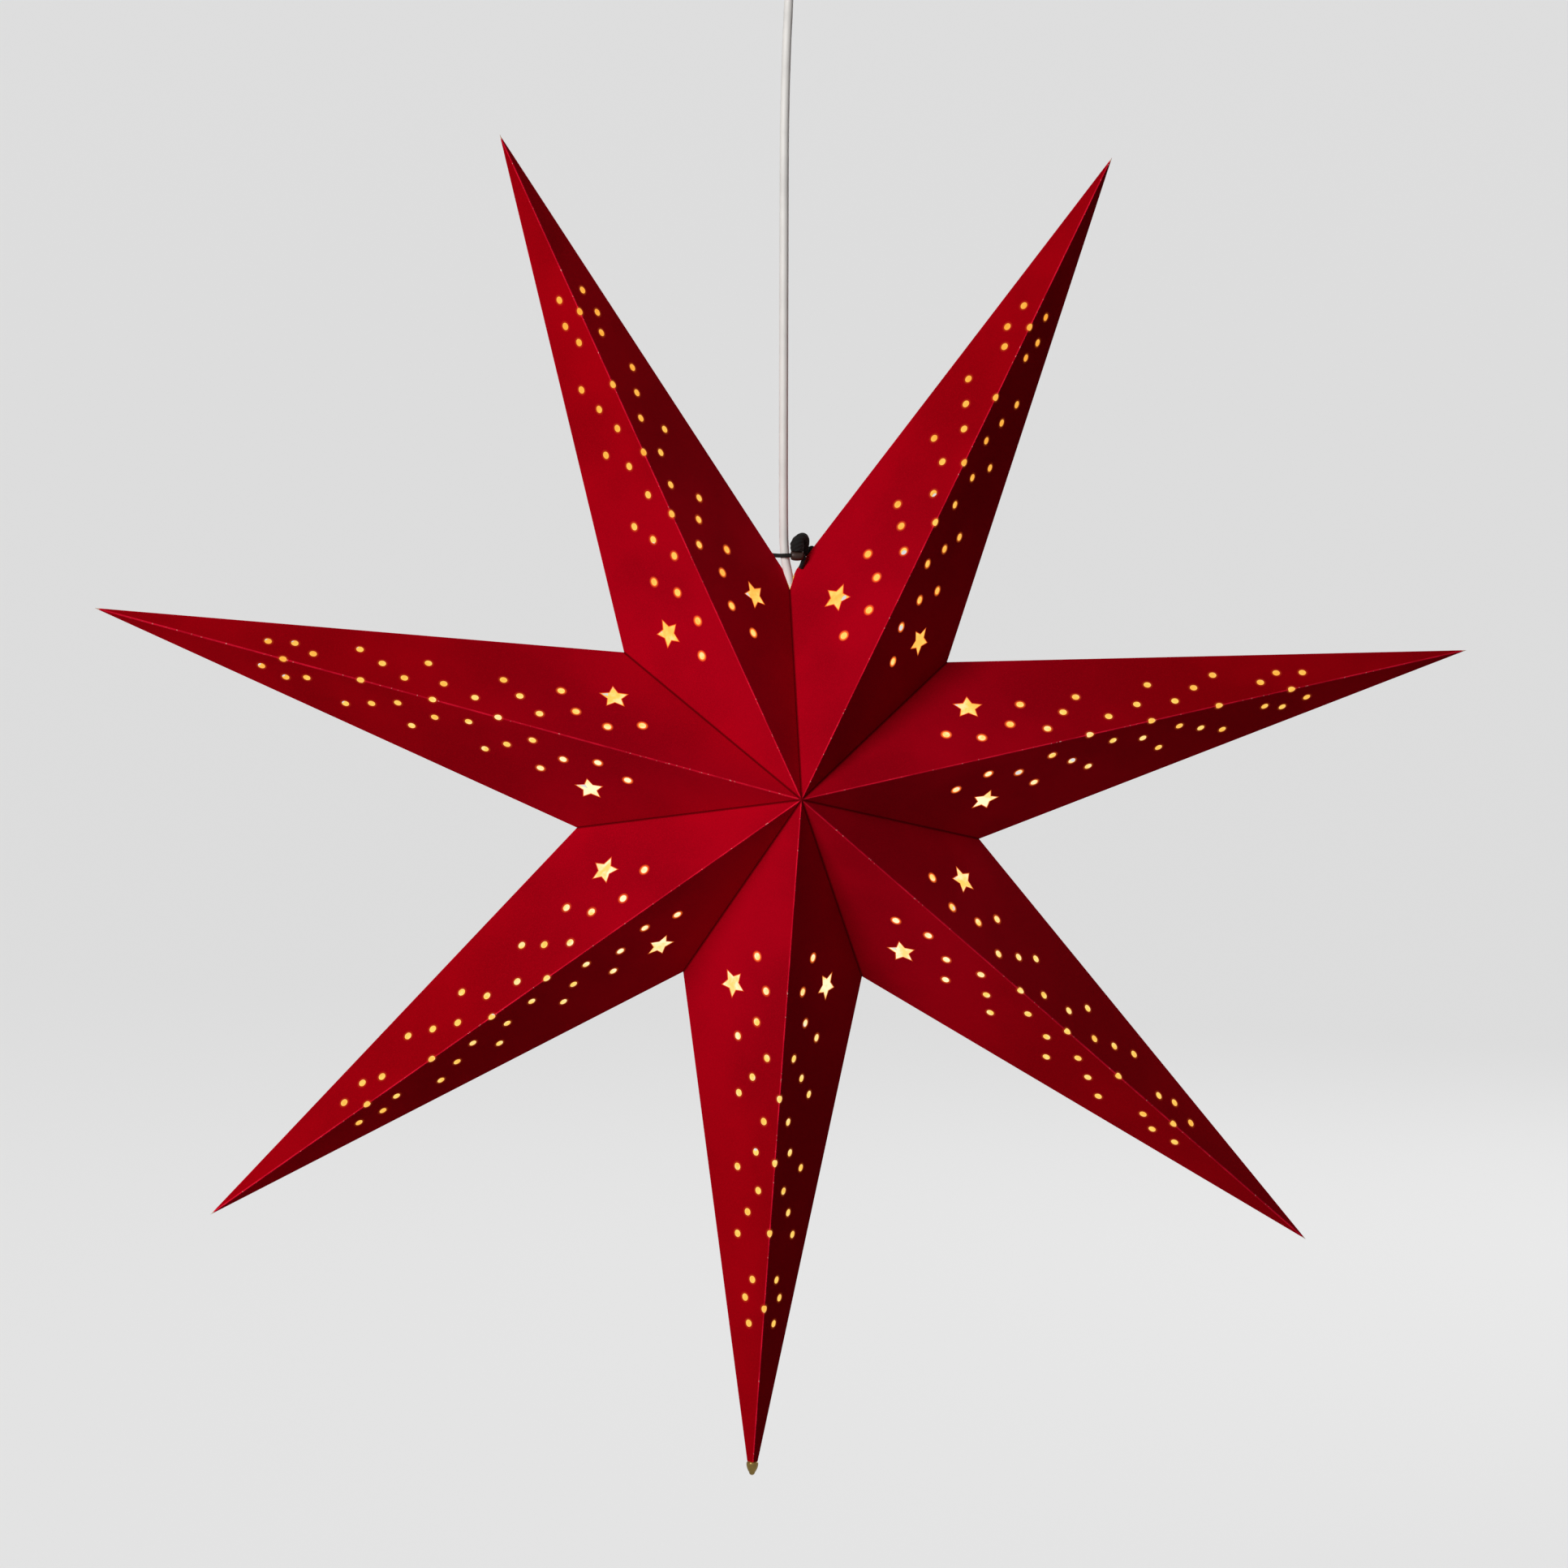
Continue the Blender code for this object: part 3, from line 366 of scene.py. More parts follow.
def strand(name, node, look, path, radii, lobes, pitch, depth, sides=24):
    """A closed piece along a path whose section has twisted lobes, as braided strands have."""
    shape = bmesh.new()
    ridges = shape.loops.layers.uv.new("UVMap")
    side = (path[1] - path[0]).orthogonal().normalized()
    rings, run, runs = [], 0, []
    for k, point in enumerate(path):
        ahead = path[min(k + 1, len(path) - 1)] - path[max(k - 1, 0)]
        ahead.normalize()
        side = (side - side.dot(ahead) * ahead).normalized()
        across = ahead.cross(side)
        run += (point - path[k - 1]).length if k else 0
        runs.append(run)
        ring = []
        for s in range(sides):
            a = math.tau * s / sides
            swell = abs(math.cos(lobes / 2 * (a - math.tau * run / pitch)))
            radius = radii[k] * (1 - depth * (1 - swell))
            out = math.cos(a) * side + math.sin(a) * across
            ring.append(shape.verts.new(point + radius * out))
        rings.append(ring)
    for k in range(len(rings) - 1):
        for s in range(sides):
            t = (s + 1) % sides
            face = shape.faces.new((rings[k][s], rings[k][t], rings[k + 1][t], rings[k + 1][s]))
            for loop, (u, v) in zip(face.loops, ((s, k), (s + 1, k), (s + 1, k + 1), (s, k + 1))):
                loop[ridges].uv = (u / sides, runs[v] * 100)
    shape.faces.new(rings[0][::-1])
    shape.faces.new(rings[-1])
    return piece(name, closed_mesh(name, shape, look), node)


# Materials


class NodeTree:
    """Adds linked nodes to a tree."""

    def __init__(self, tree):
        self.tree = tree

    def feed(self, node, values):
        """Links or sets a node's inputs."""
        for key, value in values.items():
            if isinstance(value, bpy.types.NodeSocket):
                self.tree.links.new(value, node.inputs[key])
            else:
                node.inputs[key].default_value = value
        return node

    def add(self, kind, values=None, **options):
        node = self.tree.nodes.new(kind)
        for key, value in options.items():
            setattr(node, key, value)
        return self.feed(node, values or {})

    def out(self, kind, values=None, **options):
        """The first output of a new node."""
        return self.add(kind, values, **options).outputs[0]

    def maths(self, operation, a, b=0.5, c=0.5):
        return self.out("ShaderNodeMath", {0: a, 1: b, 2: c}, operation=operation)

    def times(self, a, b):
        return self.maths("MULTIPLY", a, b)

    def vector(self, operation, a, b=(0, 0, 0), output=0):
        return self.add("ShaderNodeVectorMath", {0: a, 1: b}, operation=operation).outputs[output]

    def split(self, vector):
        return self.add("ShaderNodeSeparateXYZ", {0: vector}).outputs

    def spread(self, value, start, end, low=0.0, high=1.0, ease="SMOOTHSTEP"):
        values = {"Value": value, "From Min": start, "From Max": end, "To Min": low, "To Max": high}
        return self.out("ShaderNodeMapRange", values, interpolation_type=ease)

    def blend(self, share, a, b, kind="MIX"):
        a, b = (c if isinstance(c, bpy.types.NodeSocket) else (*c, 1) for c in (a, b))
        values = {0: share, 6: a, 7: b}
        return self.add("ShaderNodeMix", values, data_type="RGBA", blend_type=kind).outputs[2]

    def seen(self):
        """Is 1 for the rays of the camera, of mirrors and of clear glass, and 0 for the light."""
        rays = self.add("ShaderNodeLightPath").outputs
        mirrored = self.maths("MAXIMUM", rays["Is Glossy Ray"], rays["Is Transmission Ray"])
        return self.maths("MAXIMUM", rays["Is Camera Ray"], mirrored)


class Finish(NodeTree):
    """A material whose patterns follow the Object coordinates."""

    def __init__(self, name, colour, **values):
        self.material = bpy.data.materials.new(name)
        self.material.use_nodes = True
        self.material.diffuse_color = (*colour, 1)
        super().__init__(self.material.node_tree)
        self.shader = self.tree.nodes["Principled BSDF"]
        self.paint(base_color=(*colour, 1), **values)

    def paint(self, **values):
        """Links the shader's inputs, or sets plain values on the shader itself."""
        for name, value in values.items():
            name = name.replace("_", " ").title().replace("Ior", "IOR")
            self.feed(self.shader, {name: value})

    @cached_property
    def place(self):
        return self.add("ShaderNodeTexCoord").outputs["Object"]

    def attribute(self, name, output):
        return self.add("ShaderNodeAttribute", attribute_name=name).outputs[output]

    def noise(self, scale, detail=2.0, roughness=0.5, stretch=None):
        place = self.place
        if stretch:
            place = self.out("ShaderNodeMapping", {"Vector": place, "Scale": stretch})
        values = {"Vector": place, "Scale": scale, "Detail": detail, "Roughness": roughness}
        return self.out("ShaderNodeTexNoise", values)

    def bump(self, height, strength, distance):
        values = {"Height": height, "Strength": strength, "Distance": distance}
        self.paint(normal=self.out("ShaderNodeBump", values))

    def from_bulb(self):
        """The way from the bulb's middle to here, and its length."""
        low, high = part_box("bulb_glass")
        away = self.vector("SUBTRACT", self.place, (low + high) / 2)
        return away, self.vector("LENGTH", away, output="Value")


def shade(colour, share):
    return tuple(min(1, part * share) for part in colour)


def flocked_paper(look):
    """Deep red flock, worn pink along the folds, with painted light and shade: a painted glow round
    each hole, painted bounce light near the bulb and painted shade in the valleys.
    """
    flock, worn = look.flock, look.worn
    finish = Finish(
        "flocked_paper", flock, roughness=0.9, specular_ior_level=0.02,
        sheen_weight=0.10, sheen_roughness=0.4, sheen_tint=(1.0, 0.0, 0.06, 1),
    )
    ridge, valley, edge = finish.split(finish.attribute("creases", "Vector"))
    clouds, patches, fibres = finish.noise(14, 3), finish.noise(70, 2), finish.noise(1500, 3, 0.65)
    far = finish.from_bulb()[1]
    tone = finish.blend(finish.spread(clouds, 0.35, 0.68), shade(flock, 0.86), shade(flock, 1.12))
    tone = finish.blend(finish.spread(fibres, 0.42, 0.72, 0, 0.5), tone, shade(flock, 1.45))
    # Painted light: the flock is made brighter and redder near the bulb, standing for light bounced
    # about inside the star
    painted_bounce_near_bulb = finish.spread(far, 0.085, 0.26, 1, 0)
    tone = finish.blend(painted_bounce_near_bulb, tone, (1.11, 1.0, 1.9), "MULTIPLY")
    for fold, band, wear in (
        (ridge, (0.0003, 0.0010), (0.35, 0.65, 0.45, 1.0)),
        (edge, (0.0001, 0.0008), (0.40, 0.70, 0.10, 0.50)),
    ):
        rub = finish.times(finish.spread(fold, *band, 1, 0), finish.spread(patches, *wear))
        tone = finish.blend(rub, tone, worn)
    tip = finish.spread(finish.maths("ADD", ridge, edge), 0.0004, 0.0009, 0.9, 0)
    tone = finish.blend(tip, tone, look.core)
    chips = finish.times(finish.spread(ridge, 0.0002, 0.0006, 1, 0),
                         finish.spread(finish.noise(700, 1), 0.68, 0.72))
    tone = finish.blend(chips, tone, look.speck)
    # Painted shade: the flock darkens along the valley folds, where shade falls in the crease
    tone = finish.blend(finish.spread(valley, 0.0003, 0.0012, 0.75, 0), tone, shade(flock, 0.25))
    # Painted light: an orange glow round each hole on the outside, stronger near the bulb, standing
    # for light through the paper
    glow = finish.maths("POWER", finish.attribute("glow", "Fac"), 1.4)
    strength = finish.times(glow, finish.spread(far, 0.07, 0.19, 1.5, 0.2))
    finish.paint(base_color=tone, emission_color=(1.0, 0.16, 0.02, 1), emission_strength=strength)
    finish.bump(finish.maths("ADD", fibres, finish.times(patches, 0.6)), 0.35, 0.0002)
    return finish.material


def bulb_light(finish, look):
    """The bulb's light painted on the paper as a glow: pale near it, deeper far off and darker
    above, in a painted shadow of the holder.
    """
    away, far = finish.from_bulb()
    ray = finish.vector("NORMALIZE", away)
    normal = finish.place.node.outputs["Normal"]
    slant = finish.maths("ABSOLUTE", finish.vector("DOT_PRODUCT", ray, normal, "Value"))
    level = finish.times(finish.spread(far, 0.05, 0.42, 1.0, 0.46),
                         finish.spread(slant, 0.05, 0.75, 0.55, 1.15))
    shadow = finish.spread(finish.split(ray)[2], -0.40, 0.85, 1.15, 0.5)
    mottle = finish.spread(finish.noise(130, 3, 0.6), 0.34, 0.66, 0.60, 1.20)
    level = finish.times(finish.times(level, shadow), mottle)
    low, high = (finish.spread(level, *band, ease="LINEAR") for band in ((0.05, 0.50), (0.50, 1.0)))
    glow = finish.blend(low, look.lit_far, look.lit_middle)
    return finish.blend(high, glow, look.lit_near)


def lit_paper(look):
    """The inside, with the bulb's light painted on it as a warm glow."""
    dark = shade(look.lit_far, 0.12)
    finish = Finish("lit_paper", dark, roughness=0.9, specular_ior_level=0.0)
    finish.paint(emission_color=bulb_light(finish, look), emission_strength=1.0)
    finish.bump(finish.noise(420, 3, 0.6), 0.2, 0.0002)
    return finish.material


def cut_edge(look):
    """The paper's cut edges round the holes: the pale core tinted amber and glowing, as painted
    light from the bulb.
    """
    red, green, blue = look.core
    # Painted light: the core is tinted amber to stand for the bulb's light in the cut edges
    painted_amber_glow = (red * 0.5, green * 0.22, blue * 0.06)
    finish = Finish("cut_paper", look.core, roughness=0.9, specular_ior_level=0.0)
    grain = finish.noise(1200, 2)
    finish.paint(base_color=finish.blend(grain, shade(painted_amber_glow, 0.85), painted_amber_glow),
                 emission_color=bulb_light(finish, look), emission_strength=0.55)
    finish.bump(grain, 0.3, 0.0001)
    return finish.material


def moulded(name, colour, roughness=0.42, mottle=0.05):
    """Smooth plastic with a faint mould texture."""
    finish = Finish(name, colour, roughness=roughness, coat_weight=0.15, coat_roughness=0.3)
    clouds = finish.noise(60, 2)
    tone = finish.blend(clouds, shade(colour, 1 - mottle), shade(colour, 1 + mottle))
    dull = finish.spread(clouds, 0.2, 0.8, roughness - 0.06, roughness + 0.08)
    finish.paint(base_color=tone, roughness=dull)
    finish.bump(finish.noise(2600, 2), 0.12, 0.0001)
    return finish.material


def metal(name, colour, roughness, brushed=112.5):
    """Turned or drawn metal with fine lines and a little tarnish."""
    finish = Finish(name, colour, roughness=roughness, metallic=1.0)
    lines, spots = finish.noise(brushed, 3, stretch=(1, 1, 14)), finish.noise(240, 3)
    tone = finish.blend(finish.spread(spots, 0.4, 0.75), colour, shade(colour, 0.72))
    dull = finish.spread(lines, 0.3, 0.7, roughness * 0.8, roughness * 1.5)
    finish.paint(base_color=tone, roughness=dull)
    finish.bump(lines, 0.08, 0.0001)
    return finish.material


def elastic(name, colour):
    """Woven elastic with fine crossing threads."""
    finish = Finish(
        name, colour, roughness=0.85, specular_ior_level=0.2, sheen_weight=0.12,
        sheen_roughness=0.4, sheen_tint=(0.4, 0.4, 0.4, 1),
    )
    flat = finish.out("ShaderNodeUVMap", uv_map="UVMap")
    threads = []
    for lean in (math.pi / 4, -math.pi / 4):
        values = {"Vector": flat, "Scale": (6, 9, 1), "Rotation": (0, 0, lean)}
        leaning = finish.out("ShaderNodeMapping", values)
        values = {"Vector": leaning, "Scale": 1.0, "Distortion": 0.4}
        threads.append(finish.add("ShaderNodeTexWave", values, wave_type="BANDS").outputs["Fac"])
    weave = finish.maths("MAXIMUM", *threads)
    finish.paint(base_color=finish.blend(weave, shade(colour, 0.5), shade(colour, 2.2)))
    finish.bump(weave, 0.6, 0.0002)
    return finish.material


def sheathed(name, colour):
    """The cord's smooth sheath, with faint length marks and handling dirt."""
    finish = Finish(name, colour, roughness=0.5, sheen_weight=0.05)
    lines, clouds = finish.noise(900, 2, stretch=(1, 1, 0.08)), finish.noise(45, 3)
    tone = finish.blend(finish.spread(clouds, 0.4, 0.8), colour, shade(colour, 0.88))
    finish.paint(base_color=tone, roughness=finish.spread(lines, 0.3, 0.7, 0.42, 0.6))
    finish.bump(lines, 0.15, 0.0001)
    return finish.material


def lit_glass(look):
    """The frosted bulb, lit, and deeper in colour towards its neck."""
    low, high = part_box("bulb_glass")
    finish = Finish("lit_glass", (0.95, 0.92, 0.86), roughness=0.15, coat_weight=0.4)
    neck = finish.spread(finish.split(finish.place)[2], (low.z + high.z) / 2, high.z)
    glow = finish.blend(neck, look.glass, shade((1.0, 0.55, 0.22), 0.9))
    glow = finish.blend(finish.spread(finish.noise(120, 2), 0.3, 0.8, 0, 0.2), glow, look.glass)
    finish.paint(emission_color=glow, emission_strength=look.glow)
    return finish.material


def lacquered(name, colour):
    """Dark lacquered wood with a faint grain."""
    finish = Finish(name, colour, roughness=0.45, specular_ior_level=0.3,
                    coat_weight=0.06, coat_roughness=0.2)
    grain = finish.noise(1400, 4, 0.6, stretch=(0.3, 1, 1))
    finish.paint(base_color=finish.blend(grain, shade(colour, 0.5), shade(colour, 2.0)))
    finish.bump(grain, 0.1, 0.0001)
    return finish.material


def repaint(look, *nodes):
    """Gives kept solids their finish."""
    for node in nodes:
        materials = frame["nodes"][node].data.materials
        materials.clear()
        materials.append(look)


# The perforated sheet


class SheetTree(NodeTree):
    """Adds linked nodes to a geometry tree."""

    def __init__(self, name):
        super().__init__(bpy.data.node_groups.new(name, "GeometryNodeTree"))
        self.tree.is_modifier = True
        self.sockets = {}

    def socket(self, name, kind, default=None):
        made = self.tree.interface.new_socket(name, in_out="INPUT", socket_type=kind)
        if default is not None:
            made.default_value = default
        self.sockets[name] = made.identifier

    def attribute(self, name, kind):
        return self.out("GeometryNodeInputNamedAttribute", {0: name}, data_type=kind)

    def is_kind(self, value, number):
        values = {2: value, 3: number}
        return self.out("FunctionNodeCompare", values, data_type="INT", operation="EQUAL")

    def store(self, geometry, name, kind, domain, value, selection=True):
        values = {"Geometry": geometry, "Name": name, "Value": value, "Selection": selection}
        return self.out("GeometryNodeStoreNamedAttribute", values, data_type=kind, domain=domain)

    def moved(self, geometry, **values):
        return self.out("GeometryNodeSetPosition", {"Geometry": geometry, **values})

    def upwards(self, height):
        return self.out("ShaderNodeCombineXYZ", {2: height})

    def join(self, *parts):
        node = self.add("GeometryNodeJoinGeometry")
        for part in parts:
            self.tree.links.new(part, node.inputs[0])
        return node.outputs[0]

    def rimmed(self, curve, growth):
        """A flat rim round a centred curve, with a glow of 1 at the curve and 0 outside it."""
        mesh = self.out("GeometryNodeCurveToMesh", {"Curve": curve})
        mesh = self.store(mesh, "glow", "FLOAT", "POINT", 1.0)
        values = {"Mesh": mesh, "Offset Scale": 0.0}
        mesh, top = self.add("GeometryNodeExtrudeMesh", values, mode="EDGES").outputs[:2]
        values = {0: self.out("GeometryNodeInputPosition"), "Scale": growth}
        grown = self.out("ShaderNodeVectorMath", values, operation="SCALE")
        rim = self.moved(mesh, Selection=top, Position=grown)
        return self.store(rim, "glow", "FLOAT", "POINT", 0.0, top)

    def spread_on(self, points, selection, instance):
        values = {"Points": points, "Selection": selection, "Instance": instance}
        return self.out("GeometryNodeInstanceOnPoints", values)

    def realize(self, geometry):
        return self.out("GeometryNodeRealizeInstances", {0: geometry})

    def weld(self, geometry):
        return self.out("GeometryNodeMergeByDistance", {"Geometry": geometry, "Distance": WELD})

    def hole(self, number, reach, sides, waist):
        """The outline of one kind of hole: a star, half a dot on the ridge or a whole dot."""
        if number == STAR_CUT:
            values = {"Points": 5, "Inner Radius": self.times(reach, waist), "Outer Radius": reach}
            return self.out("GeometryNodeCurveStar", values)
        if number == RIDGE_DOT:
            values = {"Resolution": self.maths("MULTIPLY_ADD", sides, 0.5, 1.0), "Radius": reach,
                      "Start Angle": 0.0, "Sweep Angle": math.pi}
            return self.out("GeometryNodeCurveArc", values)
        values = {"Resolution": sides, "Radius": reach}
        return self.out("GeometryNodeCurvePrimitiveCircle", values)


def perforated_tree():
    """Makes a thin sheet with dots, a star cut and tie holes from an outline and hole centres."""
    made = SheetTree("perforated_sheet")
    made.socket("Flat", "NodeSocketGeometry")
    for name in SHEET_SIZES:
        made.socket(name, "NodeSocketFloat", 0.001)
    made.socket("Dot Sides", "NodeSocketInt", 16)
    for name in SHEET_LOOKS:
        made.socket(name, "NodeSocketMaterial")
    made.tree.interface.new_socket("Sheet", in_out="OUTPUT", socket_type="NodeSocketGeometry")
    given = made.tree.nodes.new("NodeGroupInput").outputs
    flat = given["Flat"]
    kind = made.attribute("kind", "INT")
    rims, cuts = [], []
    holes = ((DOT, "Dot"), (TIE_HOLE, "Tie Hole"), (STAR_CUT, "Star Cut"), (RIDGE_DOT, "Dot"))
    for number, size in holes:
        radius = made.times(given[size], 0.5)
        rim = made.times(given["Glow Width"], TIE_RIM_SHARE if number == TIE_HOLE else 1.0)
        outer = made.maths("ADD", radius, rim)
        chosen = made.is_kind(kind, number)
        inside, outside = (made.hole(number, reach, given["Dot Sides"], given["Star Waist"])
                           for reach in (radius, outer))
        ring = made.rimmed(inside, made.maths("DIVIDE", outer, radius))
        rims.append(made.spread_on(flat, chosen, ring))
        if number != RIDGE_DOT:
            cuts.append(made.spread_on(flat, chosen, outside))
    values = {0: flat, "Selection": made.is_kind(kind, OUTLINE)}
    outline = made.out("GeometryNodeSeparateGeometry", values, domain="POINT")
    outline = made.out("GeometryNodeMeshToCurve", {"Mesh": outline})
    filled = made.out("GeometryNodeFillCurve", {0: made.realize(made.join(outline, *cuts))})
    sheet = made.weld(made.realize(made.join(filled, *rims)))
    sheet = made.moved(sheet, Offset=made.upwards(made.times(given["Thickness"], -0.5)))
    values = {"Mesh": sheet, "Offset": made.upwards(given["Thickness"]), "Offset Scale": 1.0,
              "Individual": False}
    solid = made.add("GeometryNodeExtrudeMesh", values, mode="FACES").outputs
    lit = made.out("FunctionNodeCompare", {0: made.attribute("glow", "FLOAT"), 1: 0.9},
                   data_type="FLOAT", operation="GREATER_THAN")
    rim = made.out("FunctionNodeBooleanMath", {0: solid["Side"], 1: lit}, operation="AND")
    body = made.store(solid["Mesh"], "face_kind", "INT", "FACE", OUTER_FACE)
    body = made.store(body, "face_kind", "INT", "FACE", CUT_FACE, rim)
    under = made.out("GeometryNodeFlipFaces", {0: sheet})
    under = made.store(under, "face_kind", "INT", "FACE", INNER_FACE)
    whole = made.realize(made.weld(made.join(body, under)))
    face_kind = made.attribute("face_kind", "INT")
    for number, name in zip((OUTER_FACE, INNER_FACE, CUT_FACE), SHEET_LOOKS):
        chosen = made.is_kind(face_kind, number)
        values = {"Geometry": whole, "Selection": chosen, "Material": given[name]}
        whole = made.out("GeometryNodeSetMaterial", values)
    made.tree.links.new(whole, made.tree.nodes.new("NodeGroupOutput").inputs[0])
    return made


def cut_length(corner, other, third, width):
    """How far from a corner its two sides are cut where the cut is this wide."""
    return width / 2 / math.sin((other - corner).angle(third - corner) / 2)


def flat_sheet(corners, tip_cut, notch_cut, holes):
    """The outline and the hole centres of one sheet, in its own plane."""
    paper = settings().paper
    hub, tip, notch = corners
    ridge, valley = tip - hub, notch - hub
    rim = paper.dot / 2 + paper.glow_width
    half = paper.dot_sides // 2
    outline = [hub]
    for share in RIDGE_DOT_SHARES:
        middle = hub + ridge * share
        for k in range(half + 1):
            a = math.pi * (1 - k / half)
            outline.append(middle + rim * Vector((math.cos(a), math.sin(a))))
    for corner, cut in ((tip, tip_cut), (notch, notch_cut)):
        others = (hub, notch) if corner is tip else (tip, hub)
        if cut:
            outline += [corner + (other - corner).normalized() * cut for other in others]
        else:
            outline.append(corner)
    points = [(place, OUTLINE) for place in outline]
    points += [(hub + ridge * a + valley * b, DOT) for a, b in DOT_SHARES]
    points += [(hub + ridge * share, RIDGE_DOT) for share in RIDGE_DOT_SHARES]
    points.append((hub + ridge * STAR_CUT_SHARES[0] + valley * STAR_CUT_SHARES[1], STAR_CUT))
    points += [(place, TIE_HOLE) for place in holes]
    mesh = bpy.data.meshes.new("flat_sheet")
    count = len(outline)
    edges = [(k, (k + 1) % count) for k in range(count)]
    mesh.from_pydata([(*place, 0) for place, kind in points], edges, [])
    kinds = mesh.attributes.new("kind", "INT", "POINT")
    kinds.data.foreach_set("value", [kind for place, kind in points])
    return mesh


def fold_lines(corners):
    """A point and the outward direction of a sheet's ridge, valley and outer fold, in its plane."""
    hub, tip, notch = corners
    lines = []
    for start, end, inside in ((hub, tip, notch), (hub, notch, tip), (tip, notch, hub)):
        outward = (end - start).orthogonal().normalized()
        if outward.dot(inside - start) > 0:
            outward = -outward
        lines.append((start, outward))
    return lines


def mitred(mesh, lines, leans):
    """Slants the folded edges so that neighbours meet, and stores each point's fold distances."""
    distances = []
    for vert in mesh.vertices:
        here = vert.co.to_2d()
        gaps = [max(0, (start - here).dot(outward)) for start, outward in lines]
        distances += gaps
        on = [k for k, gap in enumerate(gaps) if gap < WELD]
        if on and vert.co.z:
            wanted = [vert.co.z * leans[k] for k in on[:2]]
            if len(on) == 1:
                shift = lines[on[0]][1] * wanted[0]
            else:
                shift = Matrix([lines[k][1] for k in on[:2]]).inverted() @ Vector(wanted)
            vert.co.xy = here + shift
    creases = mesh.attributes.new("creases", "FLOAT_VECTOR", "POINT")
    creases.data.foreach_set("vector", distances)


def fold_leans():
    """How far a sheet's outer face reaches past its three folds, for each unit of height."""
    normal = sheet_normal(sheet_corners(1, True, True))
    neighbours = ((1, True, False), (2, True, False), (1, False, True))
    turns = [normal.angle(sheet_normal(sheet_corners(*names))) for names in neighbours]
    return [math.tan(turn / 2) * sign for turn, sign in zip(turns, (1, -1, 1))]


def perforated(tree, flat, looks):
    """The plain mesh that the tree makes from a flat outline with hole centres."""
    paper = settings().paper
    obj = bpy.data.objects.new("flat_sheet", flat)
    bpy.context.scene.collection.objects.link(obj)
    modifier = obj.modifiers.new("Perforations", "NODES")
    modifier.node_group = tree.tree
    for name, value in zip(SHEET_LOOKS, looks):
        modifier[tree.sockets[name]] = value
    for name in (*SHEET_SIZES, "Dot Sides"):
        modifier[tree.sockets[name]] = getattr(paper, name.lower().replace(" ", "_"))
    depsgraph = bpy.context.evaluated_depsgraph_get()
    mesh = bpy.data.meshes.new_from_object(obj.evaluated_get(depsgraph), depsgraph=depsgraph)
    bpy.data.objects.remove(obj)
    if not mesh.materials[0]:
        mesh.materials.pop(index=0)
    return mesh


def paper_sheet(tree, arm, front, right, looks, leans):
    paper = settings().paper
    node = f"arm_{arm}_{'front' if front else 'back'}_{'right' if right else 'left'}"
    corners = sheet_corners(arm, front, right)
    place = sheet_frame(corners)
    back = place.inverted()
    flat = [(back @ corner).to_2d() for corner in corners]
    beside_seam = (arm, right) in ((1, True), (2, False))
    holes = []
    if beside_seam and not front:
        holes.append((back @ tie_hole_place(corners)).to_2d())
    tip_cut = cut_length(flat[1], flat[0], flat[2], paper.tip_cut) if arm == LOWEST_ARM else 0
    notch_cut = 0
    if beside_seam:
        wide = (flat[0] - flat[2]).angle(flat[1] - flat[2]) / 2
        notch_cut = paper.cord_notch / math.cos(wide)
    mesh = perforated(tree, flat_sheet(flat, tip_cut, notch_cut, holes), looks)
    mitred(mesh, fold_lines(flat), leans)
    mesh.transform(place)
    if place.is_negative:
        mesh.flip_normals()
    mesh.shade_flat()
    mesh.name = "paper_" + node
    return piece("paper_" + node, mesh, node)


class STAR_OT_camera(bpy.types.Operator):
    """Places the camera in front of the star, a little above it and to its left"""

    bl_idname = "advent_star.camera"
    bl_label = "Camera"

    def execute(self, context):
        turn = Matrix.Rotation(CAMERA_LIFT, 3, "X") @ Matrix.Rotation(CAMERA_TURN, 3, "Z")
        back = turn.transposed()
        place = star_middle() - back @ CAMERA_PLACE
        axes = Matrix((back.col[0], back.col[2], -back.col[1])).transposed().to_4x4()
        camera = bpy.data.objects.new("camera", bpy.data.cameras.new("camera"))
        camera.data.lens = CAMERA_LENS
        camera.data.sensor_width = 36
        camera.data.clip_start, camera.data.clip_end = 0.1, 200
        camera.matrix_world = Matrix.Translation(place) @ axes
        context.scene.collection.objects.link(camera)
        context.scene.camera = camera
        return {"FINISHED"}


class STAR_OT_cord(bpy.types.Operator):
    """Makes the white cord that carries the star"""

    bl_idname = "advent_star.cord"
    bl_label = "Cord"

    def execute(self, context):
        lamp = settings().lamp
        curve = bpy.data.curves.new("white_cord", "CURVE")
        curve.dimensions = "3D"
        curve.bevel_depth = lamp.cord / 2
        curve.bevel_resolution = 6
        curve.use_fill_caps = True
        lay = [Vector((0, 0, -lamp.cord_top))]
        lay += [Vector((aside, 0, -drop)) for aside, drop in CORD_LAY]
        lay.append(Vector((0, 0, -lamp.cord_end)))
        path = eased(lay, 6)
        spline = curve.splines.new("POLY")
        spline.points.add(len(path) - 1)
        for point, place in zip(spline.points, path):
            point.co = (*place, 1)
        curve.materials.append(sheathed("cord_sheath", lamp.sheath))
        obj = piece("white_cord", curve, "lamp_cord")
        return {"FINISHED"}


class STAR_OT_paper(bpy.types.Operator):
    """Makes the twenty-eight perforated sheets between the folds"""

    bl_idname = "advent_star.paper"
    bl_label = "Paper Star"

    def execute(self, context):
        look = settings().paper
        looks = (flocked_paper(look), lit_paper(look), cut_edge(look))
        tree = perforated_tree()
        leans = fold_leans()
        for arm in range(1, ARM_COUNT + 1):
            for front in (True, False):
                for right in (True, False):
                    paper_sheet(tree, arm, front, right, looks, leans)
        return {"FINISHED"}


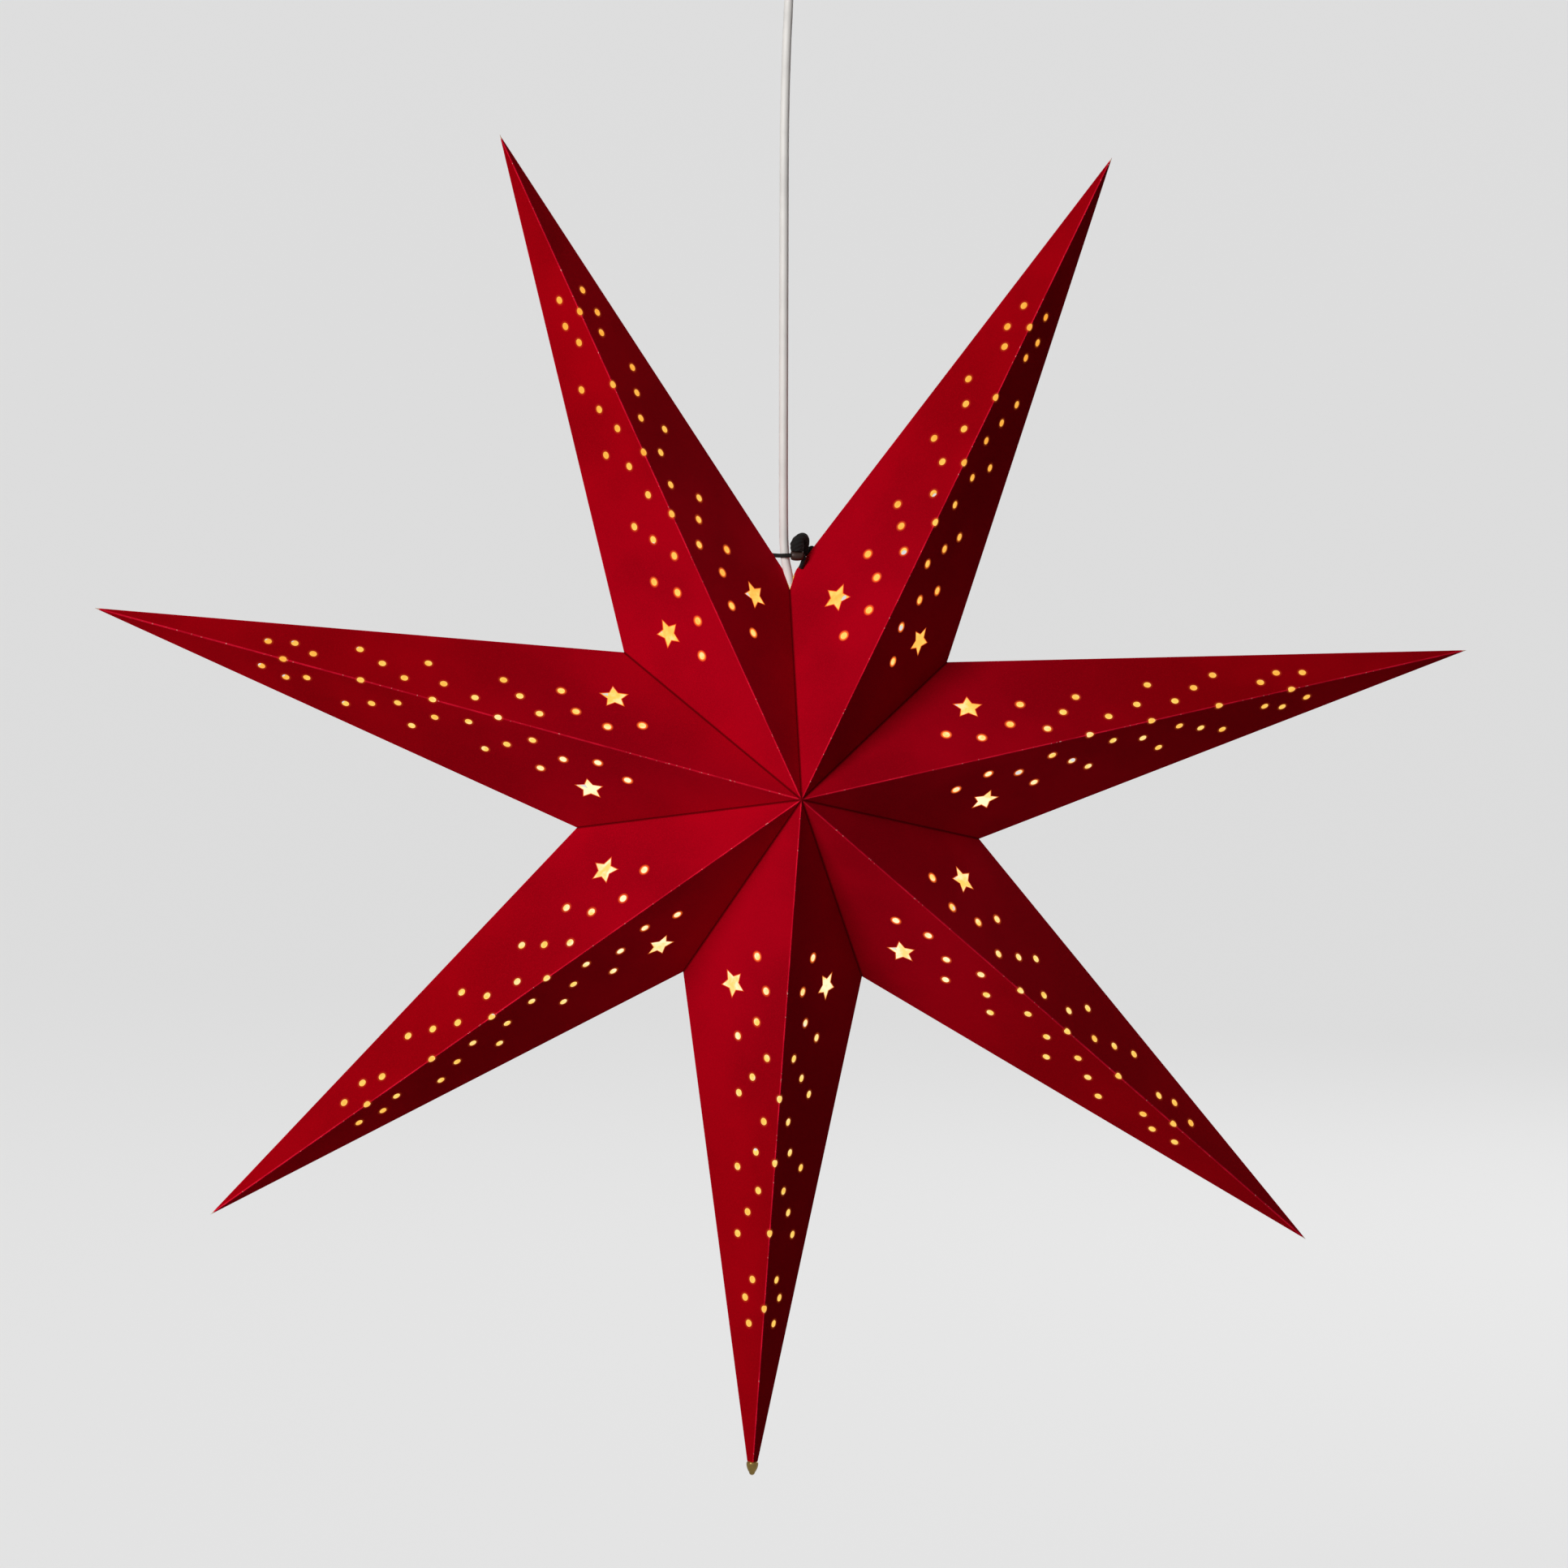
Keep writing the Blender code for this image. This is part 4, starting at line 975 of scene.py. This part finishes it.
class STAR_OT_lamp(bpy.types.Operator):
    """Makes the lampholder and the lit bulb inside the star"""

    bl_idname = "advent_star.lamp"
    bl_label = "Lamp"

    def execute(self, context):
        lamp = settings().lamp
        brass = metal("holder_brass", lamp.brass, 0.28)
        self.holder(moulded("holder_plastic", lamp.plastic))
        self.glass(lit_glass(lamp))
        self.base(brass)
        repaint(brass, "lampholder_contact")
        repaint(metal("contact_steel", settings().fitting.steel, 0.3), "bulb_tip_contact")
        repaint(moulded("stem_glass", (0.85, 0.80, 0.70), 0.2), "bulb_stem")
        return {"FINISHED"}

    def holder(self, plastic):
        wall, socket, throat, socket_top, floor_top = 0.0022, 0.00755, 0.002, 0.0245, 0.028
        tall, outside = round_space("lampholder_body")[1:]
        body = [(socket, 0), (outside, 0), (outside, tall), (outside - wall, tall),
                (outside - wall, floor_top), (throat, floor_top), (throat, socket_top),
                (socket, socket_top)]
        tall, neck, rim = round_space("lampholder_cap")[1], 0.0065, 0.0054
        shoulder = tall * 0.55
        cap = [(outside - wall, 0), (outside, 0), (outside, shoulder - wall),
               (outside - wall, shoulder + wall), (neck, tall - wall), (rim, tall),
               (CORD_BORE, tall), (CORD_BORE, tall - wall), (outside - wall * 2, shoulder),
               (outside - wall, shoulder - wall * 2)]
        tall, reach = round_space("lampholder_ring")[1:]
        inner = outside + TOUCH_GAP
        ring = [(inner, 0), (reach, 0), (reach, tall / 2), (outside + wall, tall), (inner, tall)]
        parts = (("body", body, 0.0006), ("cap", cap, 0.001), ("ring", ring, 0.0006))
        for name, profile, bend in parts:
            node = "lampholder_" + name
            turned("holder_" + name, node, plastic, rounded(profile, bend),
                   raised(round_space(node)[0]))

    def glass(self, look):
        foot, tall, ball = round_space("bulb_glass")
        collar, neck, wall, neck_tall, collar_tall = 0.0066, 0.0054, 0.001, 0.008, 0.004
        high, middle, spread = foot + tall, foot + ball, math.radians(140)
        shoulder = high - neck_tall
        outside = arc(ball, spread, 0, 24, middle)
        inside = arc(ball - wall, 0, spread, 24, middle)
        profile = [(neck - wall, high), (neck, high), (neck, shoulder), (collar, shoulder),
                   (collar, shoulder - collar_tall), *outside, *inside,
                   (collar - wall, shoulder - collar_tall), (neck - wall, shoulder - wall * 1.3)]
        turned("lit_bulb", "bulb_glass", look, profile, raised(0), ROUND_SIDES, 40)

    def base(self, brass):
        foot, tall, radius = round_space("bulb_base")
        wall, throat, lip, pitch, depth, turns, steps = 0.0008, 0.002, 0.0035, 0.0028, 0.0005, 5, 8
        thread = [(radius - depth * (1 + math.cos(k * math.tau / steps)) / 2, k * pitch / steps)
                  for k in range(turns * steps + 1)]
        inner = radius - depth - wall
        profile = [(inner, 0), *thread, (lip, tall), (throat, tall), (throat, tall - wall),
                   (lip - wall, tall - wall), (inner, turns * pitch)]
        turned("screw_base", "bulb_base", brass, profile, raised(foot))


class STAR_OT_ceiling(bpy.types.Operator):
    """Makes the ceiling cup with its bracket, screws, terminal block and ball swivel"""

    bl_idname = "advent_star.ceiling"
    bl_label = "Ceiling Cup"

    def execute(self, context):
        look, lamp = settings().fitting, settings().lamp
        plastic = moulded("white_moulding", lamp.plastic)
        self.cup(look, moulded("cup_enamel", look.enamel, 0.3, 0.02))
        self.swivel(plastic)
        repaint(metal("bright_steel", look.steel, 0.35), "bracket", "ceiling_screw_left",
                "ceiling_screw_right", "cup_screw_left", "cup_screw_right", "housing_nut")
        brass = metal("terminal_brass", lamp.brass, 0.3)
        repaint(brass, "terminal_screw_left", "terminal_screw_right")
        repaint(plastic, "terminal_block", "swivel_seat")
        repaint(sheathed("tail_sheath", lamp.sheath), "cord_tail")
        return {"FINISHED"}

    def cup(self, look, enamel):
        foot, tall, radius = round_space("ceiling_cup")
        mouth, lip, inside, bend = 0.0106, 0.0004, radius - look.wall, look.edge - look.wall
        quarter = [(math.sin(a), math.cos(a)) for a in (k * math.pi / 24 for k in range(13))]
        profile = [(inside, 0), (inside + lip, 0), (radius - lip, 0), (radius, -lip)]
        profile += [(radius - look.edge * (1 - c), -tall + look.edge * (1 - s)) for s, c in quarter]
        profile += [(mouth, -tall), (mouth, -tall + look.wall)]
        profile += [(inside - bend * (1 - c), -tall + look.wall + bend * (1 - s))
                    for s, c in reversed(quarter)]
        turned("enamelled_cup", "ceiling_cup", enamel, profile,
               raised(foot + tall), 96)

    def swivel(self, plastic):
        foot, tall, flange = round_space("swivel_housing")
        below, bolt, socket, mouth = 0.0063, 0.0103, 0.00835, 0.0072
        pivot, top, under = foot + below, tall - below, -0.0043
        lip = arc(socket, math.radians(50), math.pi / 2, 10)
        profile = [(mouth, -below), (flange - 0.0005, -below), (flange, 0.0005 - below),
                   (flange, under - 0.0004), (flange - 0.0004, under), (bolt, under), (bolt, top),
                   (socket, top), *reversed(lip)]
        turned("ball_housing", "swivel_housing", plastic, profile, raised(pivot))
        radius, neck, drop, cut = 0.0065, 0.0036, -0.0095, 0.005
        ball = arc(radius, math.asin(neck / radius), math.pi - math.acos(cut / radius), 20)
        profile = [(CORD_BORE, drop), (neck, drop), *ball, (CORD_BORE, cut)]
        turned("ball_joint", "swivel_ball", plastic, profile, raised(pivot))
        foot, tall = round_space("cord_sleeve")[:2]
        wide, narrow, groove, grooves, count = 0.0044, 0.0036, 0.0006, 4, 40
        profile = [(CORD_BORE, 0)]
        for k in range(count + 1):
            share = k / count
            wave = max(0, math.sin(share * grooves * math.tau)) ** 0.5 if 0.02 < share < 0.98 else 0
            profile.append((wide + (narrow - wide) * share - groove * wave, -tall * share))
        profile.append((CORD_BORE, -tall))
        turned("bend_sleeve", "cord_sleeve", plastic, profile, raised(foot + tall))


class STAR_OT_tip_cap(bpy.types.Operator):
    """Makes the small brass cap on the lowest tip"""

    bl_idname = "advent_star.tip_cap"
    bl_label = "Tip Cap"

    def execute(self, context):
        paper = settings().paper
        tip = around(paper.arm_reach, LOWEST_ARM - 1.5)
        inward = (star_middle() - tip).normalized()
        hub, point, notch = sheet_corners(LOWEST_ARM, True, True)
        slant = math.cos((hub - point).angle(notch - point) / 2)
        cut = cut_length(point, hub, notch, paper.tip_cut) * slant
        mouth = Matrix.Translation(tip + inward * (cut - TOUCH_GAP))
        turn = (-inward).to_track_quat("Z", "Y").to_matrix().to_4x4()
        radius, end, tall = 0.0034, 0.0017, 0.0077
        profile = [(0, 0), (radius * 0.86, 0), (radius * 0.97, tall * 0.04), (radius, tall * 0.10)]
        for k in range(13):
            a = k / 12
            profile.append((end + (radius - end) * math.cos(a * math.pi / 2) ** 0.8,
                            tall * (0.16 + 0.62 * a)))
        profile += [(end * math.cos(a), tall * (0.78 + 0.22 * math.sin(a)))
                    for a in (k * math.pi / 16 for k in range(1, 8))] + [(0, tall)]
        # Painted shade: the brass is darker than brass is, standing for dark surroundings reflected
        # in it
        look = metal("tip_brass", paper.cap, 0.25, 50)
        turned("brass_tip", "tip_cap", look, profile, mouth @ turn, ROUND_SIDES, 50)
        return {"FINISHED"}


class STAR_OT_tie(bpy.types.Operator):
    """Makes the elastic string, its bead and the braided loop at the top seam"""

    bl_idname = "advent_star.tie"
    bl_label = "Tie"

    def execute(self, context):
        look = settings().tie
        black = elastic("black_elastic", look.elastic)
        low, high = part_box("tie_bead")
        middle, half, radius = (low + high) / 2, (high.x - low.x) / 2, (high.z - low.z) / 2
        self.string(look, black, middle, half)
        self.bead(look, middle, half, radius)
        self.loop(look, black, middle + Vector((0, 0, radius + TOUCH_GAP)))
        return {"FINISHED"}

    def string(self, look, black, middle, half):
        size, travel, over, inset = look.string, 0.0015, 0.0150, 0.0018
        start = middle - Vector((half + travel + size / 2, 0, 0))
        end = middle + Vector((half, 0, 0))
        corners = sheet_corners(1, False, True)
        tip, notch = corners[1:]
        hole, out = tie_hole_place(corners), sheet_normal(corners)
        along = (tip - notch).normalized()
        over_edge = notch + along * over - along.cross(Vector((0, 1, 0))) * inset
        first = [hole - out * size / 2, hole + out * size * 0.52,
                 hole - along * 0.0040 + out * size * 0.55, over_edge, start]
        tail = [end + Vector(step) * size for step in
                ((0, 0, 0), (0.25, 0.35, -0.7), (0.0, 0.8, -1.8), (-0.45, 1.2, -3.1))]
        path = eased(first, 12)
        path += [start.lerp(end, k / 24) for k in range(1, 24)] + eased(tail, 8)
        radii = [size / 2] * len(path)
        strand("elastic_string", "tie_string", black, path, radii, 8, size * 3, 0.10)

    def bead(self, look, middle, half, radius):
        bore, flat, steps = look.string / 2 + TOUCH_GAP, 0.0021, 24
        profile = [(bore, -half)]
        for k in range(steps + 1):
            a = math.pi * k / steps
            profile.append((flat + (radius - flat) * math.sin(a), -half * math.cos(a)))
        profile.append((bore, half))
        place = Matrix.Translation(middle) @ Matrix.Rotation(math.pi / 2, 4, "Y")
        lacquer = lacquered("bead_lacquer", look.bead)
        turned("brown_bead", "tie_bead", lacquer, profile, place, 48, 50)

    def loop(self, look, black, above):
        size, rise, wide, steps = look.strand, 0.0083, 0.0062, 14
        corners = sheet_corners(2, False, False)
        hole, out = tie_hole_place(corners), sheet_normal(corners)
        points = [hole - out * size / 4, hole + out * size * 0.75]
        points += [above + Vector((wide * x, wide * y, rise * z)) for x, y, z in LOOP_SHARES]
        knot = look.knot / size
        widths = [1, 1, 1.15, 1.2, 1.25, 1.25, 1.4, 2.0, knot, knot * 0.9]
        widths = [a + (b - a) * k / steps for a, b in zip(widths, widths[1:]) for k in range(steps)]
        radii = [size / 2 * width for width in [*widths, knot * 0.9]]
        path = eased(points, steps)
        strand("braided_loop", "tie_loop", black, path, radii, 6, size * 4, 0.12, 48)


class STAR_OT_stage(bpy.types.Operator):
    """Lays the pale floor and sets the lamps and the light from all round"""

    bl_idname = "advent_star.stage"
    bl_label = "Stage"

    def execute(self, context):
        look = settings().stage
        shape = bmesh.new()
        bmesh.ops.create_circle(shape, cap_ends=True, radius=FLOOR_REACH, segments=96)
        mesh = bpy.data.meshes.new("floor")
        shape.to_mesh(mesh)
        shape.free()
        mesh.transform(raised(-look.floor_drop))
        mesh.materials.append(self.floor_look(look.floor))
        floor = bpy.data.objects.new("floor", mesh)
        context.scene.collection.objects.link(floor)
        for name, size, offset in LAMPS:
            self.lamp(name, getattr(look, name), size, offset)
        self.sky(context, look)
        context.scene.view_settings.view_transform = "Standard"
        return {"FINISHED"}

    def lamp(self, name, power, size, offset):
        light = bpy.data.lights.new(name, "AREA")
        light.energy, light.size = power, size
        obj = bpy.data.objects.new(name, light)
        bpy.context.scene.collection.objects.link(obj)
        obj.location = star_middle() + offset
        obj.rotation_mode = "QUATERNION"
        obj.rotation_quaternion = (-offset).to_track_quat("-Z", "Y")

    def floor_look(self, colour):
        """A floor that looks pale, but lights the star no more than its own colour does."""
        finish = Finish("floor", colour, roughness=0.9, specular_ior_level=0.1)
        seen = finish.seen()
        finish.paint(base_color=finish.blend(seen, colour, shade(colour, 0.4)),
                     emission_color=(1, 1, 1, 1), emission_strength=finish.times(seen, PALE_FLOOR))
        return finish.material

    def sky(self, context, look):
        world = bpy.data.worlds.new("sky")
        world.use_nodes = True
        context.scene.world = world
        nodes = NodeTree(world.node_tree)
        strength = nodes.spread(nodes.seen(), 0.0, 1.0, look.sky, PALE_SKY)
        background = world.node_tree.nodes["Background"]
        nodes.feed(background, {"Color": (1, 1, 1, 1), "Strength": strength})


class STAR_PT_panel(bpy.types.Panel):
    """The sidebar's list of the star's pieces"""

    bl_idname = "STAR_PT_panel"
    bl_label = "Advent Star"
    bl_space_type = "VIEW_3D"
    bl_region_type = "UI"
    bl_category = "Advent Star"

    def draw(self, context):
        star = context.scene.advent_star
        for group in (star.paper, star.lamp, star.fitting, star.tie, star.stage):
            box = self.layout.box()
            for name in group.bl_rna.properties.keys():
                if name not in ("rna_type", "name"):
                    box.prop(group, name)
        for operator in OPERATORS:
            self.layout.operator(operator.bl_idname)


OPERATORS = (
    STAR_OT_camera,
    STAR_OT_cord,
    STAR_OT_paper,
    STAR_OT_lamp,
    STAR_OT_ceiling,
    STAR_OT_tip_cap,
    STAR_OT_tie,
    STAR_OT_stage,
)
SETTINGS = (
    StarPaperSettings,
    StarLampSettings,
    StarFittingSettings,
    StarTieSettings,
    StarStageSettings,
    StarSettings,
)


def register():
    for kind in (*SETTINGS, *OPERATORS, STAR_PT_panel):
        bpy.utils.register_class(kind)
    bpy.types.Scene.advent_star = PointerProperty(type=StarSettings)


def unregister():
    del bpy.types.Scene.advent_star
    for kind in (STAR_PT_panel, *reversed(OPERATORS), *reversed(SETTINGS)):
        bpy.utils.unregister_class(kind)


def main():
    register()
    bpy.ops.advent_star.camera()
    bpy.ops.advent_star.cord()
    bpy.ops.advent_star.paper()
    bpy.ops.advent_star.lamp()
    bpy.ops.advent_star.ceiling()
    bpy.ops.advent_star.tip_cap()
    bpy.ops.advent_star.tie()
    bpy.ops.advent_star.stage()


if __name__ == "__main__":
    main()
